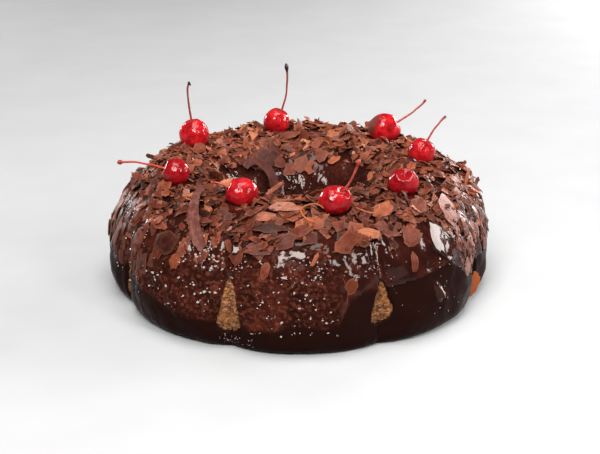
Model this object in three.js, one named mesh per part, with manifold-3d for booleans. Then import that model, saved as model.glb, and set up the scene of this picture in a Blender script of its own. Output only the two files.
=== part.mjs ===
// A chocolate ring cake: a sponge baked in a fluted ring tin, a poured coat of ganache with
// chocolate shavings standing in it, and eight stemmed cocktail cherries on the crest.
// Millimetres, +Z up, origin on the table under the middle of the hole, -Y towards the viewer.
import * as THREE from 'three';
import { mergeVertices } from 'three/addons/utils/BufferGeometryUtils.js';
import Module from 'manifold-3d';

const wasm = await Module();
wasm.setup();

// ---- Driving dimensions ---------------------------------------------------------------------

const FLUTES = 8;
const FLUTE_TURN = 1.95; // degrees that the front flute is turned from straight ahead
const GAP = 0.3; // left between pieces that touch

// Sponge, in section: a flat base, a bulging side, a round crest and a funnel to the hole.
const SPONGE = {
  outerR: 119.2, // widest radius
  bulgeZ: 22, // height of the widest radius
  baseR: 108.5, // radius of the flat base
  crestR: 80, // radius of the highest ring
  height: 73.5,
  throatR: 37, // where the funnel becomes the hole
  throatZ: 26,
  holeR: 29, // radius of the hole at the base
};

// Coat: the same section, thicker where the shavings make a bed on the crest.
const COAT = {
  outerR: 122.2,
  bulgeZ: 22,
  baseR: 112.4,
  crestR: 81,
  height: 80.5,
  throatR: 34,
  throatZ: 26,
  holeR: 26,
};
const COAT_FOOT = 1; // the coat ends this far above the table
const COAT_LUMP = 0.9; // height of its unevenness
const CREST_LUMP = 1.2; // and of the bed of shavings on the crest
const CRAG = 1.9; // how far single corners of that bed stand up or lie low
const CRAG_START = { funnel: 64, shoulder: 52 }; // heights where the bed begins

// The shoulder's superellipse power: 2 makes an ellipse, more is squarer. The cake has settled
// to one side, so the right-hand shoulder is fuller than the left.
const DOME_POWER = 2;
const DOME_SETTLE = 0.16;
const FUNNEL_POWER = 2.3;

// Flutes: valleys on the outside, with a small pear-shaped wedge of sponge standing in each.
const SPONGE_VALLEY = 11.5; // depth of a valley
const COAT_VALLEY = 8.3;
const SPONGE_VALLEY_POWER = 3.2; // a higher power makes a narrower valley
const COAT_VALLEY_POWER = 3.2;
const VALLEY_TOP = 76; // the valleys fade out at this height
const WEDGE = { height: 4.4, topZ: 50, wideZ: 17, lowZ: 3, topHalf: 3, wideHalf: 8.5 };

// Bare windows in the coat, where the wedges show: their lower and upper ends and half-widths,
// from the valley right of the front flute round to the one left of it.
const WINDOWS = [
  { low: 14, top: 42.5, half: 7 },
  { low: 16, top: 34, half: 4.5 },
  { low: 12, top: 40, half: 6 },
  { low: 15, top: 45, half: 6.5 },
  { low: 11, top: 38, half: 6 },
  { low: 13, top: 43, half: 6.5 },
  { low: 5.5, top: 34, half: 5.5 },
  { low: 11, top: 44.5, half: 7.2 },
];
const WINDOW_CUT = [100, 132]; // radii between which a window is cut

// Shavings: bent six-sided chips.
const CHIPS = 100;
const CHIP = { least: 10, most: 19, thick: 1.2 };
const SPREAD = [0.7548777, 0.5698403]; // steps round and across that spread the chips evenly
const SEED = 20011;

// Cherries: the angle from the front (-Y) and the radius where each stands on the crest, its own
// radius, and the points that its stem runs through, measured from its middle.
const CHERRIES = [
  { turn: -66, ring: 83, r: 8.6, sink: 4.8, stem: [[-7.1, 0, 3.2], [-21.8, -1.5, 7], [-35.4, -3, 7.4]] },
  { turn: -122.5, ring: 83, r: 10.2, sink: 6, stem: [[-1.4, 0, 9.7], [-3.8, 2, 27.2], [-2.1, 4, 34.4]] },
  { turn: -168.5, ring: 77, r: 9.3, sink: 4.6, stem: [[3.9, 0, 8], [7, 3, 22], [6.6, 6, 39.9]] },
  { turn: 136, ring: 84, r: 10.6, sink: 6.4, stem: [[7.6, 0, 3.8], [20.2, 4, 11.6], [28, 7, 18.8]] },
  { turn: 97, ring: 80, r: 9.1, sink: 5.6, stem: [[3.3, 0, 8.4], [9, 3, 16.5], [15.6, 6, 22.4]] },
  { turn: 51.5, ring: 81, r: 9.2, sink: 4.8, stem: [[1.5, 0, 5.4], [3.5, 1, 9.8], [6.7, 2, 14.3]] },
  { turn: 14, ring: 87, r: 9.3, sink: 5, stem: [[5.3, 0, 6.2], [9.6, -2, 14.2], [13.6, -3.5, 26.4]] },
  { turn: -26, ring: 77, r: 9.5, sink: 5.2, stem: [[-8.1, 0, 3.2], [-14.1, 2, 5.4], [-18, 3, 5.4]] },
];
const DIMPLE = 0.26; // depth of the dimple, as a share of the cherry's radius
const STEM = { r: 0.75, knobR: 1.7, root: 2 };

// ---- Materials --------------------------------------------------------------------------------

function material(color, roughness) {
  return new THREE.MeshStandardMaterial({ color, roughness, metalness: 0 });
}
const spongeMaterial = material(0x9c6f3f, 0.95);
const coatMaterial = material(0x4a2119, 0.3);
const cherryMaterial = material(0xb5121b, 0.15);
const stemMaterial = material(0xa03a22, 0.5);

// ---- Helpers ----------------------------------------------------------------------------------

const radians = THREE.MathUtils.degToRad;
const mix = THREE.MathUtils.lerp;
const clamp01 = (x) => THREE.MathUtils.clamp(x, 0, 1);

// Park and Miller's generator, so that every run draws the same numbers.
function drawer(seed) {
  let state = seed;
  return () => {
    state = (state * 48271) % 2147483647;
    return state / 2147483647;
  };
}

// The geometry with its positions only, and each corner once.
function welded(geometry) {
  const bare = geometry.clone();
  for (const name of Object.keys(bare.attributes)) {
    if (name !== 'position') bare.deleteAttribute(name);
  }
  return mergeVertices(bare, 1e-3);
}

// A closed geometry as a manifold-3d solid.
function solidOf(geometry) {
  const merged = welded(geometry);
  return new wasm.Manifold(
    new wasm.Mesh({
      numProp: 3,
      vertProperties: new Float32Array(merged.attributes.position.array),
      triVerts: new Uint32Array(merged.index.array),
    }),
  );
}

// A solid as a named mesh. Its largest shell is kept, so scraps go and sealed hollows are filled.
function meshOf(solid, name, meshMaterial) {
  const shells = solid.decompose().sort((a, b) => b.volume() - a.volume());
  const { vertProperties, triVerts } = shells[0].getMesh();
  const geometry = new THREE.BufferGeometry();
  geometry.setAttribute('position', new THREE.BufferAttribute(vertProperties, 3));
  geometry.setIndex(new THREE.BufferAttribute(triVerts, 1));
  geometry.computeVertexNormals();
  const mesh = new THREE.Mesh(geometry, meshMaterial);
  mesh.name = name;
  return mesh;
}

// The geometry with every face moved outwards by a distance: each corner goes out along its mean
// normal, further where its faces meet at a sharper angle.
function grown(geometry, distance) {
  const out = welded(geometry);
  const { position } = out.attributes;
  const index = out.index.array;
  const meeting = Array.from({ length: position.count }, () => []);
  for (let t = 0; t < index.length; t += 3) {
    const ids = [index[t], index[t + 1], index[t + 2]];
    const corners = ids.map((id) => new THREE.Vector3().fromBufferAttribute(position, id));
    const face = new THREE.Triangle(...corners).getNormal(new THREE.Vector3());
    ids.forEach((id, k) => {
      const one = corners[(k + 1) % 3].clone().sub(corners[k]);
      const other = corners[(k + 2) % 3].clone().sub(corners[k]);
      meeting[id].push({ face, angle: one.angleTo(other) });
    });
  }
  meeting.forEach((faces, id) => {
    const mean = new THREE.Vector3();
    for (const { face, angle } of faces) mean.addScaledVector(face, angle);
    mean.normalize();
    const least = Math.max(0.4, Math.min(...faces.map(({ face }) => face.dot(mean))));
    const moved = new THREE.Vector3().fromBufferAttribute(position, id);
    moved.addScaledVector(mean, distance / least);
    position.setXYZ(id, moved.x, moved.y, moved.z);
  });
  return out;
}

// ---- The ring's shape ----------------------------------------------------------------------------

// A point of a quarter of a superellipse, from (r0, z0) at share 0 to (r1, z1) at share 1,
// leaving the first end along z and reaching the second along r.
function quarter(r0, z0, r1, z1, share, power) {
  const angle = (share * Math.PI) / 2;
  return [
    r1 + (r0 - r1) * Math.cos(angle) ** (2 / power),
    z0 + (z1 - z0) * Math.sin(angle) ** (2 / power),
  ];
}

// The shoulder's power at an angle.
function domePower(theta) {
  return DOME_POWER + DOME_SETTLE * Math.cos(theta);
}

// The section at an angle as [r, z] points, anticlockwise from the hole's lower edge.
function section(form, theta, domeRows, funnelRows) {
  const points = [[form.holeR, 0]];
  const lowerRows = 2;
  for (let i = 0; i <= lowerRows; i++) {
    const angle = ((i / lowerRows - 1) * Math.PI) / 2;
    points.push([
      form.baseR + (form.outerR - form.baseR) * Math.cos(angle),
      form.bulgeZ * (1 + Math.sin(angle)),
    ]);
  }
  for (let i = 1; i <= domeRows; i++) {
    points.push(
      quarter(form.outerR, form.bulgeZ, form.crestR, form.height, i / domeRows, domePower(theta)),
    );
  }
  for (let i = funnelRows - 1; i >= 0; i--) {
    points.push(
      quarter(form.throatR, form.throatZ, form.crestR, form.height, i / funnelRows, FUNNEL_POWER),
    );
  }
  return points;
}

// Where an angle falls across its flute: 0 on the crown, -0.5 and 0.5 in the valleys.
function acrossFlute(theta) {
  const flutes = ((theta - radians(FLUTE_TURN - 90)) * FLUTES) / (2 * Math.PI);
  return flutes - Math.round(flutes);
}

// How much of the valley's depth there is at a height: none at the top, less at the foot.
function valleyFade(z) {
  const up = clamp01((VALLEY_TOP - z) / (VALLEY_TOP - 30));
  return up ** 1.3 * mix(0.55, 1, clamp01(z / 14));
}

function valley(theta, z, depth, power) {
  return depth * valleyFade(z) * Math.abs(2 * acrossFlute(theta)) ** power;
}

// The wedge of sponge in a valley: high and narrow at its top, widest low down, closed below.
function wedge(theta, z, r) {
  const across = (0.5 - Math.abs(acrossFlute(theta))) * ((2 * Math.PI * r) / FLUTES);
  const down = clamp01((WEDGE.topZ - z) / (WEDGE.topZ - WEDGE.wideZ));
  const foot = clamp01((WEDGE.wideZ - z) / (WEDGE.wideZ - WEDGE.lowZ));
  const half = mix(WEDGE.topHalf, WEDGE.wideHalf, down ** 1.5);
  const rise = WEDGE.height * clamp01(down * 3) * Math.sqrt(1 - foot ** 2);
  return rise * Math.max(0, 1 - (across / half) ** 2);
}

// Smooth unevenness between -1 and 1, the same on every run.
function lumps(theta, z) {
  return (
    0.45 * Math.sin(7 * theta + 0.09 * z + 1.3) +
    0.3 * Math.sin(13 * theta - 0.13 * z + 4.1) +
    0.25 * Math.sin(23 * theta + 0.21 * z + 2.2)
  );
}

function spongePoint(theta, r, z) {
  if (r <= SPONGE.crestR) return [r, z];
  const drop = valley(theta, z, SPONGE_VALLEY, SPONGE_VALLEY_POWER);
  return [r - drop + wedge(theta, z, SPONGE.outerR), z];
}

function coatPoint(theta, r, z) {
  const onCrest = clamp01((z - 50) / (COAT.height - 50));
  const lump = lumps(theta, z) * mix(COAT_LUMP, CREST_LUMP, onCrest);
  const side = clamp01(z / 12);
  if (r <= COAT.crestR) return [r - 0.5 * lump * side * (1 - onCrest), z + lump * onCrest];
  const drop = valley(theta, z, COAT_VALLEY, COAT_VALLEY_POWER);
  return [r - drop + lump * side * (1 - onCrest), z + lump * onCrest];
}

// The columns of the mesh: shares of a flute, closer together in the valleys.
const COLUMNS = [-0.5, -0.45, -0.39, -0.27, -0.09, 0.09, 0.27, 0.39, 0.45];

// A ring swept round +Z: its section, bent by pointAt at every column. Corners of the bed of
// shavings are moved at random by up to the crag's size.
function ringGeometry(form, pointAt, domeRows, funnelRows, crag = 0) {
  const draw = drawer(SEED + 2);
  const rows = section(form, 0, domeRows, funnelRows).length;
  const positions = [];
  for (let flute = 0; flute < FLUTES; flute++) {
    for (const share of COLUMNS) {
      const theta = radians(FLUTE_TURN - 90) + ((flute + share) * 2 * Math.PI) / FLUTES;
      for (const [r0, z0] of section(form, theta, domeRows, funnelRows)) {
        const [r, z] = pointAt(theta, r0, z0);
        const out = new THREE.Vector2(r - form.crestR, z - form.height / 2).normalize();
        const start = r < form.crestR ? CRAG_START.funnel : CRAG_START.shoulder;
        const move = crag * mix(-1, 1, draw()) * clamp01((z - start) / 10);
        const reach = r + out.x * move;
        positions.push(reach * Math.cos(theta), reach * Math.sin(theta), z + out.y * move);
      }
    }
  }
  const columns = FLUTES * COLUMNS.length;
  const index = [];
  for (let c = 0; c < columns; c++) {
    for (let i = 0; i < rows; i++) {
      const a = c * rows + i;
      const b = ((c + 1) % columns) * rows + i;
      const aNext = c * rows + ((i + 1) % rows);
      const bNext = ((c + 1) % columns) * rows + ((i + 1) % rows);
      index.push(a, b, bNext, a, bNext, aNext);
    }
  }
  const geometry = new THREE.BufferGeometry();
  geometry.setAttribute('position', new THREE.Float32BufferAttribute(positions, 3));
  geometry.setIndex(index);
  return geometry;
}

// ---- Cherries --------------------------------------------------------------------------------------

// A cherry round its own +Y, with the dimple at the top.
function cherryGeometry(r) {
  const rows = 6;
  const points = [];
  for (let i = 0; i <= rows; i++) {
    const fromTop = Math.PI * (1 - i / rows);
    const dimple = 1 - DIMPLE * Math.exp(-((fromTop / 0.42) ** 2));
    const x = i === 0 || i === rows ? 0 : r * Math.sin(fromTop) * dimple;
    points.push(new THREE.Vector2(x, 0.95 * r * Math.cos(fromTop) * dimple));
  }
  return new THREE.LatheGeometry(points, 11);
}

function cherryCentre({ turn, ring, r, sink }) {
  const theta = radians(turn - 90);
  const top = COAT.height + CREST_LUMP * lumps(theta, COAT.height);
  return new THREE.Vector3(ring * Math.cos(theta), ring * Math.sin(theta), top + 0.95 * r - sink);
}

// The cherry in its place, with its dimple turned to where the stem leaves it.
function placedCherry(cherry) {
  const turn = new THREE.Quaternion().setFromUnitVectors(
    new THREE.Vector3(0, 1, 0),
    new THREE.Vector3(...cherry.stem[0]).normalize(),
  );
  return cherryGeometry(cherry.r)
    .applyQuaternion(turn)
    .translate(...cherryCentre(cherry).toArray());
}

// The middle line of a stem, from inside the dimple to its end.
function stemCurve(cherry) {
  const root = new THREE.Vector3(...cherry.stem[0]);
  root.setLength(0.95 * cherry.r * (1 - DIMPLE) - STEM.root);
  const points = [root, ...cherry.stem.slice(1).map((point) => new THREE.Vector3(...point))];
  return new THREE.CatmullRomCurve3(points.map((point) => point.add(cherryCentre(cherry))));
}

// A stem: a thin round rod along its curve, with a foot at the cherry and a knob at the end.
function stemGeometry(cherry) {
  const sides = 5;
  const { r, knobR } = STEM;
  // Shares of the length, with the radius there.
  const rings = [
    [0, 1.4 * r],
    [0.2, r],
    [0.45, 0.9 * r],
    [0.7, r],
    [0.88, 0.75 * knobR],
    [0.95, knobR],
    [1, 0.7 * knobR],
  ];
  const curve = stemCurve(cherry);
  const along = curve.getPointAt(1).sub(curve.getPointAt(0)).normalize();
  const side = new THREE.Vector3(0, 1, 0).cross(along).normalize();
  const other = along.clone().cross(side);
  const positions = [];
  for (const [share, radius] of rings) {
    const middle = curve.getPointAt(share);
    for (let k = 0; k < sides; k++) {
      const angle = (2 * Math.PI * k) / sides;
      const corner = middle.clone();
      corner.addScaledVector(side, radius * Math.cos(angle));
      corner.addScaledVector(other, radius * Math.sin(angle));
      positions.push(...corner.toArray());
    }
  }
  const index = [];
  for (let ring = 0; ring < rings.length - 1; ring++) {
    for (let k = 0; k < sides; k++) {
      const [a, b] = [ring * sides + k, ring * sides + ((k + 1) % sides)];
      index.push(a, b, b + sides, a, b + sides, a + sides);
    }
  }
  const last = (rings.length - 1) * sides;
  for (let k = 1; k < sides - 1; k++) {
    index.push(0, k + 1, k);
    index.push(last, last + k, last + k + 1);
  }
  const geometry = new THREE.BufferGeometry();
  geometry.setAttribute('position', new THREE.Float32BufferAttribute(positions, 3));
  geometry.setIndex(index);
  return geometry;
}

// ---- Windows and shavings ----------------------------------------------------------------------------

// The cutter of one window: a tall pear shape, as deep as the coat.
function windowGeometry({ low, top, half }, flute) {
  const [innerR, outerR] = WINDOW_CUT;
  const outline = new THREE.Shape();
  outline.moveTo(0, low);
  outline.bezierCurveTo(-half * 0.8, low, -half * 1.1, low + 3, -half, low + 7);
  outline.quadraticCurveTo(-half * 0.5, (low + top) / 2, -half * 0.35, top - 3);
  outline.quadraticCurveTo(0, top + 3, half * 0.35, top - 3);
  outline.quadraticCurveTo(half * 0.5, (low + top) / 2, half, low + 7);
  outline.bezierCurveTo(half * 1.1, low + 3, half * 0.8, low, 0, low);
  const geometry = new THREE.ExtrudeGeometry(outline, {
    depth: outerR - innerR,
    bevelEnabled: false,
    curveSegments: 4,
  });
  // The shape's x runs round the ring, its y up, and its depth outwards.
  return geometry
    .rotateX(Math.PI / 2)
    .rotateZ(Math.PI)
    .translate(0, innerR, 0)
    .rotateZ(radians(FLUTE_TURN - 180) + ((flute + 0.5) * 2 * Math.PI) / FLUTES);
}

// A chip of chocolate: a six-sided plate, bent along its middle.
function chipGeometry(length, width, curl, draw) {
  const geometry = new THREE.BoxGeometry(length, width, CHIP.thick, 2, 1, 1);
  const { position } = geometry.attributes;
  const taper = { '-1': mix(0.25, 0.8, draw()), 0: mix(0.8, 1.1, draw()), 1: mix(0.2, 0.9, draw()) };
  const skew = mix(-0.3, 0.3, draw()) * width;
  for (let i = 0; i < position.count; i++) {
    const side = Math.sign(Math.round(position.getX(i)));
    position.setY(i, position.getY(i) * taper[side] + side * skew);
    position.setZ(i, position.getZ(i) + curl * side * side);
  }
  return geometry;
}

// The place on the coat at a share of the way from the funnel over the crest to the shoulder.
function coatSpot(theta, share) {
  const [inner, crest, outer] = [0.55, 0.3, 0.45]; // the bed's ends on the funnel and shoulder
  const [r0, z0] =
    share < crest
      ? quarter(
          COAT.throatR, COAT.throatZ, COAT.crestR, COAT.height,
          mix(inner, 1, share / crest), FUNNEL_POWER,
        )
      : quarter(
          COAT.outerR, COAT.bulgeZ, COAT.crestR, COAT.height,
          mix(1, outer, (share - crest) / (1 - crest)), domePower(theta),
        );
  const [r, z] = coatPoint(theta, r0, z0);
  return new THREE.Vector3(r * Math.cos(theta), r * Math.sin(theta), z);
}

// Moves a chip, made flat round the origin, to its place, tilted and turned there.
function layChip(geometry, theta, share, spin, tilt, length) {
  const step = 0.02;
  const here = coatSpot(theta, share);
  const up = coatSpot(theta, Math.max(0, share - step)).sub(coatSpot(theta, share + step));
  const round = coatSpot(theta + step, share).sub(coatSpot(theta - step, share));
  const normal = round.clone().cross(up).normalize();
  const across = round.normalize();
  const frame = new THREE.Matrix4().makeBasis(across, normal.clone().cross(across), normal);
  const lift = 0.38 * length * Math.sin(tilt) - 0.3;
  return geometry
    .rotateY(tilt)
    .rotateZ(spin)
    .applyMatrix4(frame)
    .translate(...here.addScaledVector(normal, lift).toArray());
}

// Whether a chip round a point would come near a cherry or its stem.
function nearCherry(point, reach) {
  return CHERRIES.some((cherry) => {
    if (cherryCentre(cherry).distanceTo(point) < cherry.r + reach) return true;
    return stemCurve(cherry).getPoints(8).some((spot) => spot.distanceTo(point) < 2 + reach);
  });
}

// All the chips as solids, the largest first. Those that would come near a cherry are left out.
function chips() {
  const draw = drawer(SEED);
  const made = [];
  for (let i = 0; i < CHIPS; i++) {
    const theta = radians(360 * i * SPREAD[0] + mix(-4, 4, draw()));
    const share = clamp01(((i * SPREAD[1]) % 1) + mix(-0.03, 0.03, draw()));
    const length = mix(CHIP.most, CHIP.least, i / CHIPS);
    const width = length * mix(0.45, 0.75, draw());
    const curl = mix(-0.3, 1.8, draw());
    const spin = mix(0, 2 * Math.PI, draw());
    const tilt = radians(mix(8, 32, draw() ** 1.3));
    const geometry = chipGeometry(length, width, curl, draw);
    if (nearCherry(coatSpot(theta, share), 0.5 * length + 1)) continue;
    made.push(solidOf(layChip(geometry, theta, share, spin, tilt, length)));
  }
  return made;
}

// ---- Assembly --------------------------------------------------------------------------------------------

const cake = new THREE.Group();

const spongeShape = ringGeometry(SPONGE, spongePoint, 5, 2);
cake.add(meshOf(solidOf(spongeShape), 'sponge', spongeMaterial));

function coatSolid() {
  const windows = WINDOWS.map((size, flute) => solidOf(windowGeometry(size, flute)));
  const seats = CHERRIES.map((cherry) => solidOf(grown(placedCherry(cherry), GAP)));
  const outside = solidOf(ringGeometry(COAT, coatPoint, 8, 5, CRAG));
  const raised = outside.trimByPlane([0, 0, 1], COAT_FOOT);
  const withChips = wasm.Manifold.union([raised, ...chips()]);
  const inside = solidOf(grown(spongeShape, GAP));
  return wasm.Manifold.difference([withChips, inside, ...windows, ...seats]).simplify(0.05);
}
cake.add(meshOf(coatSolid(), 'ganache_coat', coatMaterial));

CHERRIES.forEach((cherry, i) => {
  const number = i + 1;
  const stem = stemGeometry(cherry);
  const fruit = solidOf(placedCherry(cherry)).subtract(solidOf(grown(stem, GAP)));
  cake.add(meshOf(fruit, `cherry_${number}`, cherryMaterial));
  cake.add(meshOf(solidOf(stem), `stem_${number}`, stemMaterial));
});

export default cake;
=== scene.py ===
"""A chocolate ring cake: glossy coat, heaped shavings, bare wedges of sponge and stemmed cherries.

Lengths are millimetres, as in the part's source, until a piece is made. A turn is an angle in
degrees round +Z from the front (-Y). A share is a place along the ring's section: 0-1 is the
foot, 1-2 the shoulder, 2-3 the funnel from the crest down, and 3-4 the wall of the hole.
"""
import math
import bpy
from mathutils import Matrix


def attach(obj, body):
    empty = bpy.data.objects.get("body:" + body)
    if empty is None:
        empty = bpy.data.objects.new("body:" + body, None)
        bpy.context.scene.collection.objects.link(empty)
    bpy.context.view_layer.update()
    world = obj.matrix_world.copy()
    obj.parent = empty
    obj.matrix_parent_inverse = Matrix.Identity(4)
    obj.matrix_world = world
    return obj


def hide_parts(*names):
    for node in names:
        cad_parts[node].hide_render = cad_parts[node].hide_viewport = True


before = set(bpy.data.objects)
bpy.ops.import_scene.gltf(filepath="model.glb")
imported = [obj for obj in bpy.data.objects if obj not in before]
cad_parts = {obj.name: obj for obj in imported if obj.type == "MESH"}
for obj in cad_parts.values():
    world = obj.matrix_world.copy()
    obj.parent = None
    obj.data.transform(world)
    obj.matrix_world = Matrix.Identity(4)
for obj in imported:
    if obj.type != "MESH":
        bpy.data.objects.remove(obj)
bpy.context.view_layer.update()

from types import SimpleNamespace

import bpy
import numpy as np
from mathutils import Vector

MM = 0.001
BODY = "root"

# ---- The ring's shape, as in the part's source ----

FLUTES = 8
FLUTE_TURN = 1.95
SPONGE = dict(outer=119.2, bulge_z=22, base=108.5, crest=80, height=73.5, throat=37, throat_z=26, hole=29)
COAT = dict(outer=122.2, bulge_z=22, base=112.4, crest=81, height=80.5, throat=34, throat_z=26, hole=26)
COAT_FOOT = 1.0
COAT_LUMP = 0.9
CREST_LUMP = 1.2
DOME_POWER = 2.0
DOME_SETTLE = 0.16
FUNNEL_POWER = 2.3
SPONGE_VALLEY = 11.5
COAT_VALLEY = 8.3
VALLEY_POWER = 3.2
VALLEY_TOP, VALLEY_FULL = 76, 30  # heights where a valley ends and where it is at its deepest
CREST_FROM, FOOT_TO = 50, 12  # the coat's lumps turn upwards above the first, and fade below the second
WEDGE = dict(height=4.4, top_z=50, wide_z=17, low_z=3, top_half=3.0, wide_half=8.5)

# Windows of bare sponge, from the valley right of the front flute round to the one left of it:
# lower end, upper end, half-width, and how far the lower end slants up to the right.
WINDOWS = [
    (14, 42.5, 7.0, 4.0),
    (16, 34, 4.5, 0.0),
    (12, 40, 6.0, -2.0),
    (15, 45, 6.5, 1.0),
    (11, 38, 6.0, 2.0),
    (13, 43, 6.5, -1.0),
    (5.5, 34, 5.5, 0.0),
    (11, 44.5, 7.2, 0.5),
]

# Cherries: turn, ring radius, own radius, sink into the bed, stem points from the cherry's
# middle, the radius of the stem's knob and how dark the knob is.
CHERRIES = [
    (-66, 83, 8.6, 4.8, [(-7.1, 0, 3.2), (-21.8, -1.5, 7), (-35.4, -3, 7.4)], 1.6, 0.25),
    (-122.5, 83, 10.2, 6.0, [(-1.4, 0, 9.7), (-3.8, 2, 27.2), (-2.1, 4, 34.4)], 1.8, 1.0),
    (-168.5, 77, 9.3, 4.6, [(3.9, 0, 8), (7, 3, 22), (6.6, 6, 39.9)], 1.5, 0.85),
    (136, 84, 10.6, 6.4, [(7.6, 0, 3.8), (20.2, 4, 11.6), (28, 7, 18.8)], 0.9, 0.35),
    (97, 80, 9.1, 5.6, [(3.3, 0, 8.4), (9, 3, 16.5), (15.6, 6, 22.4)], 0.9, 0.35),
    (51.5, 81, 9.2, 4.8, [(1.5, 0, 5.4), (3.5, 1, 9.8), (6.7, 2, 14.3)], 1.7, 1.0),
    (14, 87, 9.3, 5.0, [(5.3, 0, 6.2), (9.6, -2, 14.2), (13.6, -3.5, 26.4)], 1.6, 0.1),
    (-26, 77, 9.5, 5.2, [(-8.1, 0, 3.2), (-14.1, 2, 5.4), (-18, 3, 5.4)], 1.1, 0.1),
]
DIMPLE = 0.26
STEM_RADIUS = 0.75


def mix(a, b, t):
    return a + (b - a) * t


def clamp01(x):
    return np.clip(x, 0.0, 1.0)


def smooth(low, high, x):
    """0 below low, 1 above high, and a smooth step between them."""
    t = clamp01((x - low) / (high - low))
    return t * t * (3 - 2 * t)


def between(x, up_from, up_to, down_from, down_to):
    """Rises from 0 to 1 between the first two values and falls back between the last two."""
    return smooth(up_from, up_to, x) * (1 - smooth(down_from, down_to, x))


def bell(middle, half, x):
    """1 at the middle, falling to about a third at half away from it."""
    return np.exp(-(((x - middle) / half) ** 2))


def noise(x, y, z, seed=0):
    """Smooth random field between about -1 and 1, with one bump to each unit."""
    x, y, z = np.broadcast_arrays(x, y, z)
    base = [np.floor(v).astype(np.int64) for v in (x, y, z)]
    part = [v - b for v, b in zip((x, y, z), base)]
    part = [p * p * (3 - 2 * p) for p in part]
    total = 0.0
    for corner in range(8):
        step = [(corner >> axis) & 1 for axis in range(3)]
        i, j, k = (b + s for b, s in zip(base, step))
        mixed = (i * 73856093) ^ (j * 19349663) ^ (k * 83492791) ^ (seed * 97531 + 12345)
        mixed = ((mixed ^ (mixed >> 13)) * 1274126177) & 0x7FFFFFFF
        value = ((mixed ^ (mixed >> 15)) & 0xFFFF) / 32767.5 - 1.0
        weight = 1.0
        for p, s in zip(part, step):
            weight = weight * (p if s else 1 - p)
        total = total + weight * value
    return total


def layered_noise(points, size, octaves=3, seed=0):
    """Noise of several sizes at points, the largest bumps of the given size."""
    total, strength = 0.0, 1.0
    for octave in range(octaves):
        scaled = points / size * 2.0**octave
        total = total + strength * noise(scaled[..., 0], scaled[..., 1], scaled[..., 2], seed + octave)
        strength *= 0.5
    return total


def flute_at(theta):
    """A place round the ring counted in flutes, whose middles are whole numbers."""
    return (theta - theta_of(FLUTE_TURN)) * FLUTES / (2 * math.pi)


def across_flute(theta):
    flutes = flute_at(theta)
    return flutes - np.round(flutes)


def from_valley(theta, radius):
    """Millimetres to the nearest valley, round a circle of a radius."""
    return (0.5 - np.abs(across_flute(theta))) * 2 * math.pi * radius / FLUTES


def valley(theta, z, depth):
    """How far the valleys between the flutes go in."""
    up = clamp01((VALLEY_TOP - z) / (VALLEY_TOP - VALLEY_FULL))
    fade = up**1.3 * mix(0.55, 1, clamp01(z / 14))
    return depth * fade * np.abs(2 * across_flute(theta)) ** VALLEY_POWER


def wedge(theta, z):
    """How far the wedges of sponge in the valleys stand out."""
    down = clamp01((WEDGE["top_z"] - z) / (WEDGE["top_z"] - WEDGE["wide_z"]))
    foot = clamp01((WEDGE["wide_z"] - z) / (WEDGE["wide_z"] - WEDGE["low_z"]))
    half = mix(WEDGE["top_half"], WEDGE["wide_half"], down**1.5)
    rise = WEDGE["height"] * clamp01(down * 3) * np.sqrt(1 - foot**2)
    return rise * np.maximum(0, 1 - (from_valley(theta, SPONGE["outer"]) / half) ** 2)


def lumps(theta, z):
    """Slow swells, between -1 and 1."""
    return (
        0.45 * np.sin(7 * theta + 0.09 * z + 1.3)
        + 0.3 * np.sin(13 * theta - 0.13 * z + 4.1)
        + 0.25 * np.sin(23 * theta + 0.21 * z + 2.2)
    )


def dome_power(theta):
    return DOME_POWER + DOME_SETTLE * np.cos(theta)


def section(form, theta, share):
    """Radius and height on the plain section."""
    theta, share = np.broadcast_arrays(theta, share)
    part = np.clip(np.floor(share), 0, 3).astype(int)
    down = share - part
    sin, cos = np.sin(down * math.pi / 2), np.cos(down * math.pi / 2)
    dome, funnel = 2 / dome_power(theta), 2 / FUNNEL_POWER
    r = (
        mix(form["base"], form["outer"], sin),
        mix(form["crest"], form["outer"], cos**dome),
        mix(form["crest"], form["throat"], sin**funnel),
        mix(form["throat"], form["hole"], down),
    )
    z = (
        form["bulge_z"] * (1 - cos),
        mix(form["bulge_z"], form["height"], sin**dome),
        mix(form["throat_z"], form["height"], cos**funnel),
        mix(form["throat_z"], 0, down),
    )
    return np.choose(part, r), np.choose(part, z)


def sponge_surface(theta, share):
    r, z = section(SPONGE, theta, share)
    return r - np.where(share <= 2, valley(theta, z, SPONGE_VALLEY) - wedge(theta, z), 0), z


def crest_and_side(z):
    """How far a height is on the coat's crest and how far on its side, from 0 to 1."""
    crest = clamp01((z - CREST_FROM) / (COAT["height"] - CREST_FROM))
    return crest, clamp01(z / FOOT_TO) * (1 - crest)


def coat_surface(theta, share):
    r, z = section(COAT, theta, share)
    crest, side = crest_and_side(z)
    lump = lumps(theta, z) * mix(COAT_LUMP, CREST_LUMP, crest)
    moved = np.where(share <= 2, lump * side - valley(theta, z, COAT_VALLEY), -0.5 * lump * side)
    return r + moved, z + lump * crest


def coat_radius(theta, z):
    """The radius of the coat's outer side at a height."""
    low, power = COAT["bulge_z"], dome_power(theta)
    up = clamp01((z - low) / (COAT["height"] - low))
    above = mix(COAT["crest"], COAT["outer"], (1 - up**power) ** (1 / power))
    below = mix(COAT["base"], COAT["outer"], np.sqrt(1 - clamp01(1 - z / low) ** 2))
    plain = np.where(z > low, above, below) - valley(theta, z, COAT_VALLEY)
    return plain + COAT_LUMP * lumps(theta, z) * crest_and_side(z)[1]


def points_at(theta, r, z):
    return np.stack([r * np.cos(theta), r * np.sin(theta), z], axis=-1)


def turn_of(theta):
    """Degrees round +Z from the front, between -180 and 180."""
    return (np.degrees(theta) + 270) % 360 - 180


def theta_of(turn):
    return np.radians(turn - 90)


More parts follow.
